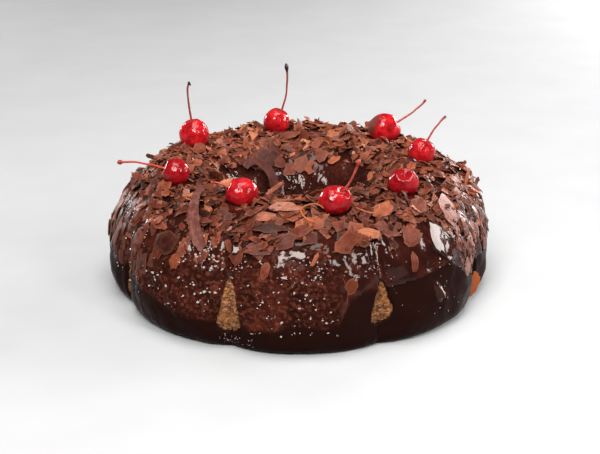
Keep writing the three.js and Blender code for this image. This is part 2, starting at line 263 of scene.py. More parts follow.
def around(turn, middle, half, fade, most=1.0):
    """The most within half of a middle angle, fading to 0 outside it."""
    away = np.abs((turn - middle + 180) % 360 - 180)
    return most * (1 - smooth(half, half + fade, away))


def any_around(turn, places):
    return np.max([around(turn, *place) for place in places], axis=0)


def even_shares(form, count, low, high, density=None):
    """Shares at even steps along the section, or closer together where density is higher."""
    fine = np.linspace(low, high, 4001)
    r, z = section(form, np.zeros(1), fine)
    steps = np.hypot(np.diff(r), np.diff(z))
    if density is not None:
        steps = steps * density(0.5 * (fine[1:] + fine[:-1]), 0.5 * (z[1:] + z[:-1]))
    length = np.concatenate([[0], np.cumsum(steps)])
    return np.interp(np.linspace(0, length[-1], count), length, fine)


def norms(vectors):
    return np.linalg.norm(vectors, axis=-1)


def units(vectors):
    return vectors / np.maximum(norms(vectors), 1e-9)[..., None]


def grid_normals(points):
    """Outward unit normals of a (columns, rows, 3) grid that closes round the ring."""
    round_step = np.roll(points, -1, axis=0) - np.roll(points, 1, axis=0)
    return units(np.cross(round_step, np.gradient(points, axis=1)))


def unit(vector):
    return np.asarray(vector, float) / np.linalg.norm(vector)


def axes_along(direction):
    """Three unit axes, the third along a direction."""
    w = unit(direction)
    helper = np.array([0.0, 1.0, 0.0]) if abs(w[1]) < 0.9 else np.array([1.0, 0.0, 0.0])
    u = unit(np.cross(helper, w))
    return np.stack([u, np.cross(w, u), w])


# ---- Making pieces ----


def new_object(name, data):
    thing = bpy.data.objects.new(name, data)
    bpy.context.scene.collection.objects.link(thing)
    return thing


def make_piece(name, corners, faces, material, node, marks=None, sharp_deg=None):
    """A mesh piece from corners in millimetres and an array of faces with equally many sides."""
    mesh = bpy.data.meshes.new(name)
    mesh.vertices.add(len(corners))
    mesh.vertices.foreach_set("co", (np.asarray(corners) * MM).ravel())
    sides = faces.shape[1]
    mesh.loops.add(faces.size)
    mesh.loops.foreach_set("vertex_index", faces.astype(np.int32).ravel())
    mesh.polygons.add(len(faces))
    mesh.polygons.foreach_set("loop_start", np.arange(len(faces), dtype=np.int32) * sides)
    mesh.polygons.foreach_set("use_smooth", np.ones(len(faces), dtype=bool))
    mesh.update(calc_edges=True)
    if sharp_deg is not None:
        mesh.set_sharp_from_angle(angle=math.radians(sharp_deg))
    for mark, values in (marks or {}).items():
        attribute = mesh.attributes.new(mark, "FLOAT", "POINT")
        attribute.data.foreach_set("value", np.asarray(values, dtype=np.float32).ravel())
    mesh.materials.append(material)
    piece = new_object(name, mesh)
    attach(piece, BODY)
    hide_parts(node)
    return piece


def ring_faces(columns, rows):
    """Quads of a grid of columns round the ring that closes along the section too."""
    c = np.arange(columns)[:, None]
    i = np.arange(rows)[None, :]
    after_c, after_i = (c + 1) % columns, (i + 1) % rows
    quads = [c * rows + i, after_c * rows + i, after_c * rows + after_i, c * rows + after_i]
    return np.stack(quads, axis=-1).reshape(-1, 4)


def tube_faces(rings, sides):
    """Triangles of a tube made of rings, with one more corner to close each end."""
    i, k = np.arange(rings - 1)[:, None] * sides, np.arange(sides)[None, :]
    a, b = i + k, i + (k + 1) % sides
    walls = [np.stack([a, b, b + sides], -1), np.stack([a, b + sides, a + sides], -1)]
    k, n = k[0], (k[0] + 1) % sides
    first, end = rings * sides, (rings - 1) * sides
    caps = [np.column_stack([0 * k + first, n, k]), np.column_stack([0 * k + first + 1, end + k, end + n])]
    return np.vstack([wall.reshape(-1, 3) for wall in walls] + caps)


# ---- Materials ----


class Nodes:
    """A material's node tree, with short ways to add what the materials here share. Inputs are
    named as in Blender, with underscores for spaces, and are values or outputs of other nodes."""

    def __init__(self, name):
        self.material = bpy.data.materials.new(name)
        self.material.use_nodes = True
        self.tree = self.material.node_tree
        self.place = self.node("TexCoord").outputs["Object"]

    def join(self, value, socket):
        if isinstance(value, bpy.types.NodeSocket):
            self.tree.links.new(value, socket)
        else:
            socket.default_value = value

    def feed(self, node, inputs):
        for key, value in inputs.items():
            self.join(value, node.inputs[key.replace("_", " ")])

    def node(self, kind, **inputs):
        node = self.tree.nodes.new("ShaderNode" + kind)
        self.feed(node, inputs)
        return node

    def noise(self, size_mm, detail=3.0, roughness=0.55, stretch=(1, 1, 1)):
        place = self.node("Mapping", Vector=self.place, Scale=stretch).outputs["Vector"]
        scale = 1.0 / (size_mm * MM)
        node = self.node("TexNoise", Vector=place, Scale=scale, Detail=detail, Roughness=roughness)
        return node.outputs["Fac"]

    def cells(self, size_mm):
        """Distance from the nearest of scattered spots, and a random shade for each spot."""
        node = self.node("TexVoronoi", Vector=self.place, Scale=1.0 / (size_mm * MM))
        split = self.node("SeparateColor", Color=node.outputs["Color"])
        return node.outputs["Distance"], split.outputs["Red"]

    def streaks(self, value, scale):
        """Noise along one value, as the lines that a scraper leaves."""
        node = self.node("TexNoise", Scale=scale, Detail=3.0)
        node.noise_dimensions = "1D"
        self.feed(node, dict(W=value))
        return node.outputs["Fac"]

    def mark(self, name):
        node = self.node("Attribute")
        node.attribute_name = name
        return node.outputs["Fac"]

    def math(self, kind, a, b):
        node = self.node("Math")
        node.operation = kind
        self.join(a, node.inputs[0])
        self.join(b, node.inputs[1])
        return node.outputs[0]

    def add(self, a, b):
        return self.math("ADD", a, b)

    def times(self, a, b):
        return self.math("MULTIPLY", a, b)

    def swing(self, value, amount):
        """A 0-1 value turned into a swing of plus or minus half the amount."""
        return self.times(self.math("SUBTRACT", value, 0.5), amount)

    def spread(self, value, low, high, to_low=0.0, to_high=1.0):
        ends = dict(From_Min=low, From_Max=high, To_Min=to_low, To_Max=to_high)
        node = self.node("MapRange", Value=value, **ends)
        node.interpolation_type = "SMOOTHSTEP"
        return node.outputs["Result"]

    def ramp(self, value, *stops):
        """Colours at places from 0 to 1 along a value."""
        node = self.node("ValToRGB", Fac=value)
        elements = node.color_ramp.elements
        while len(elements) < len(stops):
            elements.new(0.5)
        for element, (place, color) in zip(elements, stops):
            element.position = place
            element.color = (*color, 1.0)
        return node.outputs["Color"]

    def blend(self, share, a, b):
        node = self.node("Mix")
        node.data_type = "RGBA"
        for value, index in ((share, 0), (a, 6), (b, 7)):
            self.join((*value, 1.0) if isinstance(value, tuple) else value, node.inputs[index])
        return node.outputs[2]

    def bump(self, height, depth_mm, strength=1.0, **under):
        """Relief of a depth, on top of the relief given as Normal."""
        node = self.node("Bump", Height=height, Distance=depth_mm * MM, Strength=strength, **under)
        return node.outputs["Normal"]

    def finish(self, **inputs):
        self.feed(self.tree.nodes["Principled BSDF"], inputs)
        return self.material


def srgb(r, g, b):
    """A colour given as 0-255 display values, as the linear values that shaders take."""
    return tuple(((v / 255 + 0.055) / 1.055) ** 2.4 if v > 10 else v / 255 / 12.92 for v in (r, g, b))


WARM = (1.0, 0.87, 0.8, 1.0)  # the tint of what chocolate mirrors


def sponge_material():
    m = Nodes("sponge_crumb")
    crumb = m.noise(1.9, detail=4.0, roughness=0.75, stretch=(1, 1, 1.5))
    # The two darkest stops are painted shade in the pores, the dips of the same noise that bumps the crumb.
    pores = (0.37, srgb(34, 17, 11)), (0.46, srgb(90, 52, 31))
    color = m.ramp(crumb, *pores, (0.56, srgb(138, 92, 56)), (0.7, srgb(184, 140, 102)))
    color = m.blend(m.spread(m.noise(7.0, detail=2.0), 0.42, 0.7, 0.0, 0.6), color, srgb(128, 76, 34))
    color = m.blend(m.mark("smear"), color, srgb(40, 17, 12))
    return m.finish(Base_Color=color, Roughness=0.8, Specular_IOR_Level=0.2, Normal=m.bump(crumb, 1.0))


def coat_material(name, shine, uneven=0.5):
    """The coat's chocolate, with crumb, streaks and pools where it is marked."""
    m = Nodes(name)
    crumb, streak, pool = m.mark("crumb"), m.mark("streak"), m.mark("pool")
    patches = m.noise(14.0)
    mottle = m.noise(2.4, roughness=0.6)
    streaks = m.noise(1.9, roughness=0.6, stretch=(1, 1, 0.25))
    color = m.ramp(patches, (0.35, srgb(26, 9, 6)), (0.55, srgb(40, 14, 10)), (0.75, srgb(60, 23, 15)))
    color = m.blend(m.times(crumb, m.spread(mottle, 0.45, 0.67, 0.03, 0.53)), color, srgb(100, 52, 38))
    color = m.blend(m.times(streak, m.spread(streaks, 0.5, 0.68, 0.0, 0.6)), color, srgb(84, 48, 42))
    color = m.blend(pool, color, srgb(26, 10, 7))
    roughness = m.add(m.spread(patches, 0.38, 0.62, 0.07, 0.13), m.times(pool, 0.2))
    normal = m.bump(m.times(mottle, crumb), 0.22)
    for size, height in ((2.6, 0.4), (4.4, 0.7)):
        distance, chance = m.cells(size)
        bead = m.times(m.spread(distance, 0.0, 0.42, 1.0, 0.0), m.spread(chance, 0.56, 0.64))
        normal = m.bump(m.times(bead, crumb), height, Normal=normal)
    normal = m.bump(m.times(streaks, streak), 1.6, Normal=normal)
    normal = m.bump(m.noise(6.0, detail=2.0), uneven, 0.8, Normal=normal)
    return m.finish(
        Base_Color=color, Roughness=roughness, Normal=normal, Specular_IOR_Level=shine, Specular_Tint=WARM
    )


def shaving_material(name, shine, gloss):
    """Chocolate with a scraper's lines along its grain, in the shade and tint it is marked with."""
    m = Nodes(name)
    blotch = m.noise(3.0)
    lines = m.streaks(m.mark("grain"), 1.6)
    shade = m.add(m.mark("tone"), m.add(m.swing(blotch, 0.5), m.swing(lines, 0.3)))
    dark, pale = (0.05, srgb(38, 15, 11)), (0.95, srgb(160, 100, 70))
    warm = m.ramp(shade, dark, (0.4, srgb(82, 36, 24)), (0.65, srgb(120, 62, 41)), pale)
    cool = m.ramp(shade, (0.05, srgb(32, 16, 15)), (0.5, srgb(80, 46, 41)), (0.95, srgb(166, 114, 98)))
    color = m.blend(m.mark("cool"), warm, cool)
    color = m.blend(m.mark("amber"), color, srgb(150, 74, 30))
    # Edges are painted lighter: a painted highlight along each shaving's rim, where its thin edge catches the
    # light.
    color = m.blend(m.times(m.mark("rim"), 0.1), color, srgb(160, 108, 80))
    roughness = m.spread(blotch, 0.3, 0.7, gloss, gloss + 0.2)
    normal = m.bump(m.noise(0.9, detail=2.0), 0.12, 0.5, Normal=m.bump(lines, 0.22, 0.7))
    return m.finish(
        Base_Color=color, Roughness=roughness, Normal=normal, Specular_IOR_Level=shine, Specular_Tint=WARM
    )


def cherry_material():
    m = Nodes("cherry_flesh")
    color = m.ramp(
        m.noise(5.0), (0.3, srgb(112, 8, 13)), (0.52, srgb(158, 18, 24)), (0.75, srgb(188, 36, 36))
    )
    # Darker red where marked: each cherry's own deeper red, and painted shade that darkens its underside.
    color = m.blend(m.mark("deep_and_shaded"), color, srgb(96, 4, 10))
    color = m.blend(m.mark("smear"), color, srgb(92, 34, 24))
    roughness = m.spread(m.mark("smear"), 0.0, 1.0, 0.13, 0.7)
    return m.finish(
        Base_Color=color, Roughness=roughness, Normal=m.bump(m.noise(3.8, detail=2.0), 0.8, 0.8),
        Specular_IOR_Level=0.21, Subsurface_Weight=0.25, Subsurface_Scale=0.003,
        Subsurface_Radius=(1.0, 0.12, 0.1),
    )


def stem_material():
    m = Nodes("cherry_stem")
    tone = m.noise(1.5, detail=2.0)
    fresh = m.ramp(tone, (0.3, srgb(134, 34, 20)), (0.7, srgb(178, 62, 36)))
    color = m.blend(m.mark("dark"), fresh, srgb(34, 12, 11))
    return m.finish(Base_Color=color, Roughness=0.35, Specular_IOR_Level=0.3, Normal=m.bump(tone, 0.2, 0.6))


# ---- Sponge ----


def valley_columns(per_flute):
    """Angles round the ring, close together in the valleys and wide apart on the flutes."""
    u = np.linspace(-0.5, 0.5, per_flute, endpoint=False)
    shares = u + 0.9 / (2 * math.pi) * np.sin(2 * math.pi * u)
    flutes = np.arange(FLUTES)[:, None] + shares[None, :]
    return theta_of(FLUTE_TURN) + flutes.ravel() * 2 * math.pi / FLUTES


WINDOW_RADIUS = 113  # where the windows' widths are measured
# A window's half-width against its widest, from its lower end to its upper one.
WINDOW_PLACES = (0, 0.03, 0.1, 0.2, 0.38, 0.6, 0.82, 0.94, 1)
WINDOW_WIDTHS = (0, 0.55, 0.88, 1, 0.86, 0.62, 0.46, 0.32, 0)


def window_depth(theta, z):
    """How far a place lies inside its valley's window, in millimetres: negative outside."""
    flute = flute_at(theta)
    number = np.floor(flute).astype(int) % FLUTES
    low, top, half, slant = (np.array(column)[number] for column in zip(*WINDOWS))
    x = (flute - np.floor(flute) - 0.5) * 2 * math.pi * WINDOW_RADIUS / FLUTES
    base = low + slant * clamp01(x / half * 0.5 + 0.5)
    width = half * np.interp((z - base) / (top - base), WINDOW_PLACES, WINDOW_WIDTHS)
    return np.minimum(width - np.abs(x), np.minimum(z - base, top - z))


SPONGE_GRID = dict(flute=88, outside=112, inside=14)  # columns to a flute, and rows
SPONGE_SHOWN_TO = 54  # above this height the coat hides the sponge everywhere


def make_sponge():
    theta = valley_columns(SPONGE_GRID["flute"])[:, None]
    outside = even_shares(
        SPONGE, SPONGE_GRID["outside"], 0, 1.95, lambda share, z: np.where(z < SPONGE_SHOWN_TO, 1.0, 0.2)
    )
    inside = even_shares(SPONGE, SPONGE_GRID["inside"], 2, 4)
    share = np.concatenate([outside, inside])[None, :]
    r, z = sponge_surface(theta, share)
    depth = window_depth(theta, z)
    outer = share <= 2
    # In its windows the sponge swells to just under the coat's surface.
    swollen = coat_radius(theta, z) - 0.7 + 0.12 * np.clip(depth, 0, 6)
    r = np.where(outer, mix(r, np.maximum(r, swollen), smooth(-4.5, -2.0, depth)), r)
    points = points_at(theta, r, z)
    shown = smooth(-2, 0, depth) * outer
    pores = 0.35 * layered_noise(points * [1, 1, 1.5], 2.0, 3, seed=3)
    pits = 1.9 * np.maximum(0, layered_noise(points * [1, 1, 1.6], 2.6, 2, seed=9) - 0.35)
    relief = (pores - pits) * mix(0.1, 1.0, shown) * clamp01(z / 2)
    points = points + grid_normals(points) * relief[..., None]
    # Coat is smeared over the windows' edges, and here and there further in.
    edge = layered_noise(points, 3.0, 2, seed=21)
    smear = 1 - smooth(-0.9, 0.9, depth + 0.9 * edge)
    smear = np.maximum(smear, 0.45 * smooth(0.4, 0.9, edge))
    marks = dict(smear=np.where(outer, smear, 1.0))
    faces = ring_faces(*points.shape[:2])
    make_piece("sponge_ring", points.reshape(-1, 3), faces, sponge_material(), "sponge", marks)


# ---- Coat ----

# Shares where the bed of shavings ends: on the outer side, by turn, and in the funnel.
EDGE_TURNS = (
    -180, -120, -90, -60, -50, -42, -32, -22, -12, -5, 1,
    6, 13, 18, 24, 29, 34, 45, 60, 72, 90, 130, 180,
)
EDGE_SHARES = (
    1.46, 1.46, 1.56, 1.57, 1.57, 1.6, 1.57, 1.5, 1.5, 1.6, 1.62,
    1.55, 1.47, 1.55, 1.57, 1.55, 1.6, 1.6, 1.6, 1.56, 1.5, 1.42, 1.46,
)
THROAT = dict(full=2.3, end=2.5)
BED_DROP = 1.6  # the coat lies this far below its mean surface where shavings cover it
COAT_THICK, LIP_THICK = 2.4, 0.5
COAT_GRID = dict(columns=720, rows=118, inner_rows=14)
ARC_RADII = 118.0, 48.0  # where lengths round the coat are measured, outside and in the funnel
# The edge of a run of smooth coat on the front flute, a fold across the flute right of it, and a
# short run below that fold: turns, and the heights where the runs fade in and out.
DRIP = dict(turn=12.1, ends=(30, 36, 45, 52))
LEDGE = dict(turn=36, half=13, z=40.5, slope=0.24)
SPOT = dict(turn=43.5, low=23, ends=(21, 25, 33, 37))
# A crease above each window, between two swells: height or depth, place and width.
CREASE, SWELL = dict(depth=2.7, half=2.6), dict(height=1.0, at=8, half=4)
# Where crumb shows through, where fine runs cover the side and where it is smooth: the middle
# turn, half the width, the fade outside it and, if not 1, the strength.
CRUMBY = (-31, 36, 11), (-160, 40, 14), (140, 16, 14)
STREAKY = (92, 32, 8), (-94, 24, 10, 0.9)
CALM = (46, 6, 6), (-3, 6, 4)
BEADS, BEAD_HEIGHT = 1300, 0.7
DULL_CRUMB = 0.35  # the coat is dull where it is crumbed more than this
# Where the dull, dark coat round the foot ends: turns and heights.
POOL_TURNS = (-180, -130, -90, -60, -46, -32, -14, -2, 11, 14, 20, 26, 30, 36, 48, 54, 60, 75, 95, 130, 180)
POOL_TOPS = (22, 26, 30, 27, 23, 18, 17, 20, 21, 36, 40, 40, 39, 41, 43, 36, 26, 30, 36, 28, 22)


def coat_rows():
    """Rows of the coat: close on the outer side, wider in the funnel, widest under shavings."""

    def density(share, z):
        return np.where(share < 1.62, 1.0, np.where(share > 2.35, 0.62, 0.22))

    return even_shares(COAT, COAT_GRID["rows"], 0.06, 3.9, density)[None, :]


def spaced_columns(count):
    """Angles round the ring, closer together at the front than at the back."""
    even = np.arange(count) * 2 * math.pi / count
    return even - math.pi / 2 - 0.28 * np.sin(even)


def beads(points, where):
    """Rounded grains that stand on a grid here and there, as heights."""
    rng = np.random.default_rng(5)
    columns, rows = where.shape
    likely = where * norms(points - np.roll(points, 1, axis=0))
    chosen = rng.choice(where.size, BEADS, p=likely.ravel() / likely.sum())
    height = np.zeros(where.shape)
    for cell in chosen:
        column, row = divmod(int(cell), rows)
        radius = 1.6 + 2.2 * rng.random() ** 1.5
        near = np.ix_((column + np.arange(-6, 7)) % columns, range(max(0, row - 6), min(rows, row + 7)))
        away = norms(points[near] - points[column, row])
        # Lower down, where the side is upright, they are steeper, so that their tops face the light.
        steep = np.interp(points[column, row, 2], [20, 30, 45, 60], [0.68, 0.6, 0.4, 0.14])
        steep = steep * rng.uniform(0.9, 1.3)
        cap = steep * np.maximum(0, radius - np.sqrt(away**2 + (0.22 * radius) ** 2))
        height[near] = np.maximum(height[near], cap)
    return height


def bed_height(z):
    """Heights on the coat, sunk where the shavings cover it."""
    return z - BED_DROP * smooth(58, 70, z)


def coat_grid():
    """The coat's plain outer side and funnel as a grid of points, each with its place."""
    theta, share = spaced_columns(COAT_GRID["columns"])[:, None], coat_rows()
    r, z = coat_surface(theta, share)
    z = bed_height(np.maximum(z, COAT_FOOT))
    turn, outer = turn_of(theta) + 0 * z, (share <= 2).astype(float)
    arc = np.radians(turn) * np.where(outer > 0, *ARC_RADII)
    points = points_at(theta, r, z)
    return SimpleNamespace(
        theta=theta, share=share, z=z, turn=turn, outer=outer, arc=arc, points=points
    )


def coat_marks(grid):
    """How far the coat is pooled, crumbed and streaked, and where the short run lies."""
    share, z, turn, outer, arc = grid.share, grid.z, grid.turn, grid.outer, grid.arc
    side = outer * (1 - smooth(62, 74, z))
    # A pool of smooth coat round the foot, which the short run parts.
    pool_z = np.interp(turn, POOL_TURNS, POOL_TOPS)
    pool_z = pool_z + 2 * noise(arc / 24, 0, 0, seed=51) + 1.2 * noise(arc / 7, 0, 0, seed=53)
    spot = bell(SPOT["turn"] + 0.12 * (SPOT["low"] - z), 1.0, turn) * between(z, *SPOT["ends"])
    pool = (1 - smooth(-1.5, 2.0, z - pool_z)) * outer * (1 - smooth(0.05, 0.4, spot))
    # Crumb shows through the thin coat in patches, and a little in the funnel.
    crumb = any_around(turn, CRUMBY) * side * (1 - pool)
    crumb = crumb * mix(0.6, 1.0, smooth(-0.5, 0.4, layered_noise(grid.points, 18.0, 2, seed=31)))
    crumb = crumb * mix(1.0, 0.5, smooth(48, 58, z))
    crumb = np.maximum(crumb, 0.32 * (1 - outer) * between(share, 2.35, 2.55, 3.2, 3.5))
    streak = any_around(turn, STREAKY) * side * (1 - pool)
    return dict(crumb=crumb, streak=streak, pool=pool), spot


def coat_relief(grid, crumb, streak, pool, spot):
    """How far the coat stands out from its plain surface."""
    z, turn, outer, arc, points = grid.z, grid.turn, grid.outer, grid.arc, grid.points
    # Fine runs cover the streaked sides, broader ones everything, and soft bumps the funnel.
    along = norms(np.diff(points, axis=1, prepend=points[:, :1])).cumsum(axis=1)
    sway = 0.5 * noise(arc / 10, along / 13, 0, seed=40)
    runs = 0.25 * noise(arc / 5.0 + sway, along / 24, 0, seed=41)
    runs = runs + 0.8 * noise(arc / 2.2 + sway, along / 9, 0, seed=43) * streak
    funnel = 0.8 * layered_noise(points, 7.0, 3, seed=47) * (1 - outer) * smooth(2.2, 2.45, grid.share)

    across = from_valley(grid.theta, COAT["outer"])
    crease = SWELL["height"] * bell(SWELL["at"], SWELL["half"], across)
    crease = crease - CREASE["depth"] * bell(0, CREASE["half"], across)
    crease = crease * between(z, 40, 52, 64, 73) * outer

    # Steps where one run of coat lies over another.
    ledge_z = LEDGE["z"] + LEDGE["slope"] * (turn - LEDGE["turn"]) + 1.2 * noise(arc / 6, 0, 0, seed=55)
    ledge = smooth(-0.7, 0.5, z - ledge_z) * around(turn, LEDGE["turn"], LEDGE["half"], 4)
    ledge = ledge * (1 - smooth(8, 22, z - ledge_z)) + bell(0, 1.3, z - ledge_z - 1) * 0.5 * ledge
    drip_turn = DRIP["turn"] + 0.5 * noise(z / 5, 0, 0, seed=57)
    drip = between(turn - drip_turn, -0.4, 0.5, 1.5, 7) * between(z, *DRIP["ends"])
    steps = (1.0 * ledge + 0.8 * drip + 1.4 * spot) * outer + 0.4 * pool

    grains = BEAD_HEIGHT * beads(points, (crumb > 0.3) * crumb)
    grains = grains + 0.1 * layered_noise(points, 2.4, 2, seed=7) * crumb
    calm = any_around(turn, CALM) * bell(58, 12, z) * outer
    dents = (0.5 - 0.45 * calm) * layered_noise(points, 10.0, 2, seed=61)
    return (grains + runs + funnel + steps + dents + crease) * mix(0.25, 1.0, smooth(COAT_FOOT, 6, z))


def make_coat():
    """The coat as one piece. Gives the points, normals and turns of its shown outer side."""
    grid = coat_grid()
    theta, z, turn, outer = grid.theta, grid.z, grid.turn, grid.outer
    marks, spot = coat_marks(grid)
    normal = grid_normals(grid.points)
    points = grid.points + normal * coat_relief(grid, **marks, spot=spot)[..., None]

    # Windows: the coat ends in a thin rounded lip and dips under the sponge.
    here = window_depth(theta, z) + 0.7 * layered_noise(points, 3.2, 2, seed=71)
    bare = smooth(-0.7, 0.5, here) * outer
    lip = 0.45 * bell(-1.8, 1.2, here) * outer
    radius = np.hypot(points[..., 0], points[..., 1])
    under = np.minimum(radius, coat_radius(theta, z) - 2.6)
    points[..., :2] *= (mix(radius + lip, under, bare) / np.maximum(radius, 1e-6))[..., None]

    # The inner face follows the outer one, a coat's thickness further in.
    inner_rows = np.linspace(points.shape[1] - 1, 0, COAT_GRID["inner_rows"]).round().astype(int)
    thick = mix(COAT_THICK, LIP_THICK, bare)[:, inner_rows, None]
    inner = points[:, inner_rows] - normal[:, inner_rows] * thick
    inner[..., 2] = np.maximum(inner[..., 2], COAT_FOOT)
    whole = np.concatenate([points, inner], axis=1)

    def on_both(values):
        return np.concatenate([values, values[:, inner_rows]], axis=1)

    # Pools, crumb and what the shavings hide mirror much less than the rest.
    edge = np.interp(turn, EDGE_TURNS, EDGE_SHARES) + 0.02
    hidden = (grid.share > edge) & (grid.share < THROAT["full"] + 0.05)
    dull_at = on_both(np.maximum(np.maximum(marks["pool"], hidden), marks["crumb"] > DULL_CRUMB))
    faces = ring_faces(*whole.shape[:2])
    coat = make_piece(
        "coat_glaze", whole.reshape(-1, 3), faces, coat_material("chocolate_coat", 0.18),
        "ganache_coat", {key: on_both(values) for key, values in marks.items()},
    )
    coat.data.materials.append(coat_material("chocolate_pool", 0.015))
    dull = dull_at.ravel()[faces].mean(axis=1) > 0.5
    coat.data.polygons.foreach_set("material_index", dull.astype(np.int32))
    shown = np.broadcast_to(outer > 0, turn.shape) & (here < -2)
    return points[shown], grid_normals(points)[shown], turn[shown]


# ---- Cherries: where they stand ----


def cherry_middle(turn, ring, r, sink):
    theta = theta_of(turn)
    top = COAT["height"] + CREST_LUMP * lumps(theta, COAT["height"])
    return np.array([ring * math.cos(theta), ring * math.sin(theta), top + 0.95 * r - sink])


CHERRY_MIDDLES = np.array([cherry_middle(*cherry[:4]) for cherry in CHERRIES])
CHERRY_RADII = np.array([cherry[2] for cherry in CHERRIES])


def stem_path(number, count):
    """Points along a stem, from its root in the cherry to its tip."""
    r, points = CHERRIES[number - 1][2], CHERRIES[number - 1][4]
    root = unit(points[0]) * (0.95 * r * (1 - DIMPLE) - 2.0)
    through, last = np.asarray(points[1], float), np.asarray(points[2], float)
    control = 2 * through - 0.5 * (root + last)
    t = np.linspace(0, 1, count)
    s = t[:, None]
    path = (1 - s) ** 2 * root + 2 * s * (1 - s) * control + s**2 * last
    sway = np.stack([noise(t * 5, number, 0, seed=k) for k in range(3)], axis=-1)
    return t, path + 0.25 * sway * (s * (1 - s) * 4) + CHERRY_MIDDLES[number - 1]


STEM_POINTS = np.vstack([stem_path(number, 24)[1][3:] for number in range(1, len(CHERRIES) + 1)])


STEM_REACH, STEM_GAP = 12, 1.6  # how near a stem is looked at, and how near it a shaving may lie


def clear_of_fruit(corners, into=0.0):
    """Whether corners keep off the stems and out of the cherries, but for a share of their radius."""
    far = norms(corners[:, None] - CHERRY_MIDDLES[None]) > (1 - into) * CHERRY_RADII
    if not far.all():
        return False
    near = norms(STEM_POINTS - corners[0]) < STEM_REACH
    if not near.any():
        return True
    return norms(corners[:, None] - STEM_POINTS[near][None]).min() > STEM_GAP


# ---- Shavings ----

MAP_COLUMNS, MAP_ROWS, MAP_SHARES = 1200, 230, (0.5, 2.9)
HEAP_LIMIT = 7.0  # how far the map rises at most
MOST_RISE = 2.2  # and how far under one shaving
PACKED = 0.9  # the share of a shaving's height that stays when others lie on it
STEEPEST = 0.6  # the slope that a shaving follows at most
LEAST_CELLS = 4  # a shaving needs this many cells of the map under it
SHARP_DEG = 38  # the shavings' edges are sharp from this angle


class Heap:
    """The bed's surface as a map, which grows as shavings come down on it."""

    def __init__(self):
        theta = (np.arange(MAP_COLUMNS) * 2 * math.pi / MAP_COLUMNS)[:, None]
        self.share = even_shares(COAT, MAP_ROWS, *MAP_SHARES)
        r, z = coat_surface(theta, self.share[None, :])
        self.top = points_at(theta, r, bed_height(z))
        self.normal = grid_normals(self.top)
        self.base = self.top.copy()
        self.grown = np.zeros(self.top.shape[:2])
        self.row_step = norms(np.diff(self.top, axis=1)).mean()
        self.column_step = 2 * math.pi * r.mean(axis=0) / MAP_COLUMNS

    def column_at(self, turn):
        return int(round(((turn - 90) % 360) / 360 * MAP_COLUMNS)) % MAP_COLUMNS

    def row_at(self, share):
        return int(np.argmin(np.abs(self.share - share)))

    def place_at(self, x, y):
        """The turn and share of a place seen from above."""
        theta = math.atan2(y, x)
        column = self.column_at(turn_of(theta))
        away = np.abs(np.hypot(self.base[column, :, 0], self.base[column, :, 1]) - math.hypot(x, y))
        return turn_of(theta), self.share[np.argmin(away)]

    def axes_at(self, column, row):
        """Axes round the ring, up the section and outwards."""
        normal = self.normal[column, row]
        round_axis = unit(self.base[(column + 1) % MAP_COLUMNS, row] - self.base[column - 1, row])
        return np.stack([round_axis, np.cross(normal, round_axis), normal])

    def window(self, column, row, reach):
        """Indices of the map's cells within a reach of one cell."""
        across = int(reach / self.column_step[row]) + 1
        up = int(reach / self.row_step) + 1
        columns = (column + np.arange(-across, across + 1)) % MAP_COLUMNS
        rows = np.arange(max(0, row - up), min(MAP_ROWS, row + up + 1))
        return np.ix_(columns, rows)


def plate_faces(sides, rings):
    """Triangles of a thin plate: a middle and rings above, the same below, and the wall round its edge."""
    below = 1 + rings * sides
    faces = []
    for k in range(sides):
        n = (k + 1) % sides
        faces.append((0, 1 + k, 1 + n))
        faces.append((below, below + 1 + n, below + 1 + k))
        for ring in range(rings - 1):
            a, b = 1 + ring * sides, 1 + (ring + 1) * sides
            faces += [(a + k, b + k, b + n), (a + k, b + n, a + n)]
            faces.append((below + a + k, below + b + n, below + b + k))
            faces.append((below + a + k, below + a + n, below + b + n))
        a = 1 + (rings - 1) * sides
        faces += [(a + k, below + a + k, below + a + n), (a + k, below + a + n, a + n)]
    return np.array(faces)


FINE_PLATE = dict(sides=20, rings=[0.36, 0.72, 1.0], faces=plate_faces(20, 3))
PLATE = dict(sides=12, rings=[0.55, 1.0], faces=plate_faces(12, 2))
CHIP = dict(sides=8, rings=[1.0], faces=plate_faces(8, 1))


def broken_outline(rng, sides, corners=None):
    """A shard's outline: points on the edges of an uneven polygon within the unit disc."""
    least = 0.82 if corners else 0.55
    corners = corners or rng.integers(4, 8)
    angles = np.sort((np.arange(corners) + rng.uniform(-0.34, 0.34, corners)) * 2 * math.pi / corners)
    radii = rng.uniform(least, 1.08, corners)
    polygon = np.stack([radii * np.cos(angles), radii * np.sin(angles)], axis=-1)
    lengths = norms(np.roll(polygon, -1, axis=0) - polygon)
    along = np.concatenate([[0], np.cumsum(lengths)])
    at = np.arange(sides) / sides * along[-1]
    # Each corner of the polygon takes the nearest point, so that the shard stays sharp.
    for corner in along[:-1]:
        at[np.argmin(np.abs(at - corner))] = corner
    at = np.sort(at)
    closed = np.vstack([polygon, polygon[:1]])
    outline = np.stack([np.interp(at, along, closed[:, axis]) for axis in (0, 1)], axis=-1)
    return outline * (1 + rng.uniform(-0.1, 0.1, (sides, 1)))


def arch(u, curl):
    """Height of a strip bent to a circle, at places u from its middle: curl is 1 / radius."""
    curl = np.where(np.abs(curl) < 1e-4, 1e-4, curl)
    turned = np.clip(u * curl, -1.45, 1.45)
    return (1 - np.cos(turned)) / curl


class Pile:
    """Corners, faces and marks of many shavings that become one piece."""

    def __init__(self, name, marks=("tone", "cool", "amber", "rim", "grain")):
        self.name = name
        self.corners, self.faces, self.used = [], [], 0
        self.marks = {mark: [] for mark in marks}

    def add(self, corners, faces, **marks):
        self.corners.append(corners)
        self.faces.append(faces + self.used)
        self.used += len(corners)
        for key, values in self.marks.items():
            values.append(np.broadcast_to(marks.get(key, 0.0), len(corners)))

    def make(self, material):
        marks = {key: np.concatenate(values) for key, values in self.marks.items()}
        corners, faces = np.vstack(self.corners), np.vstack(self.faces)
        make_piece(self.name, corners, faces, material, "ganache_coat", marks, SHARP_DEG)


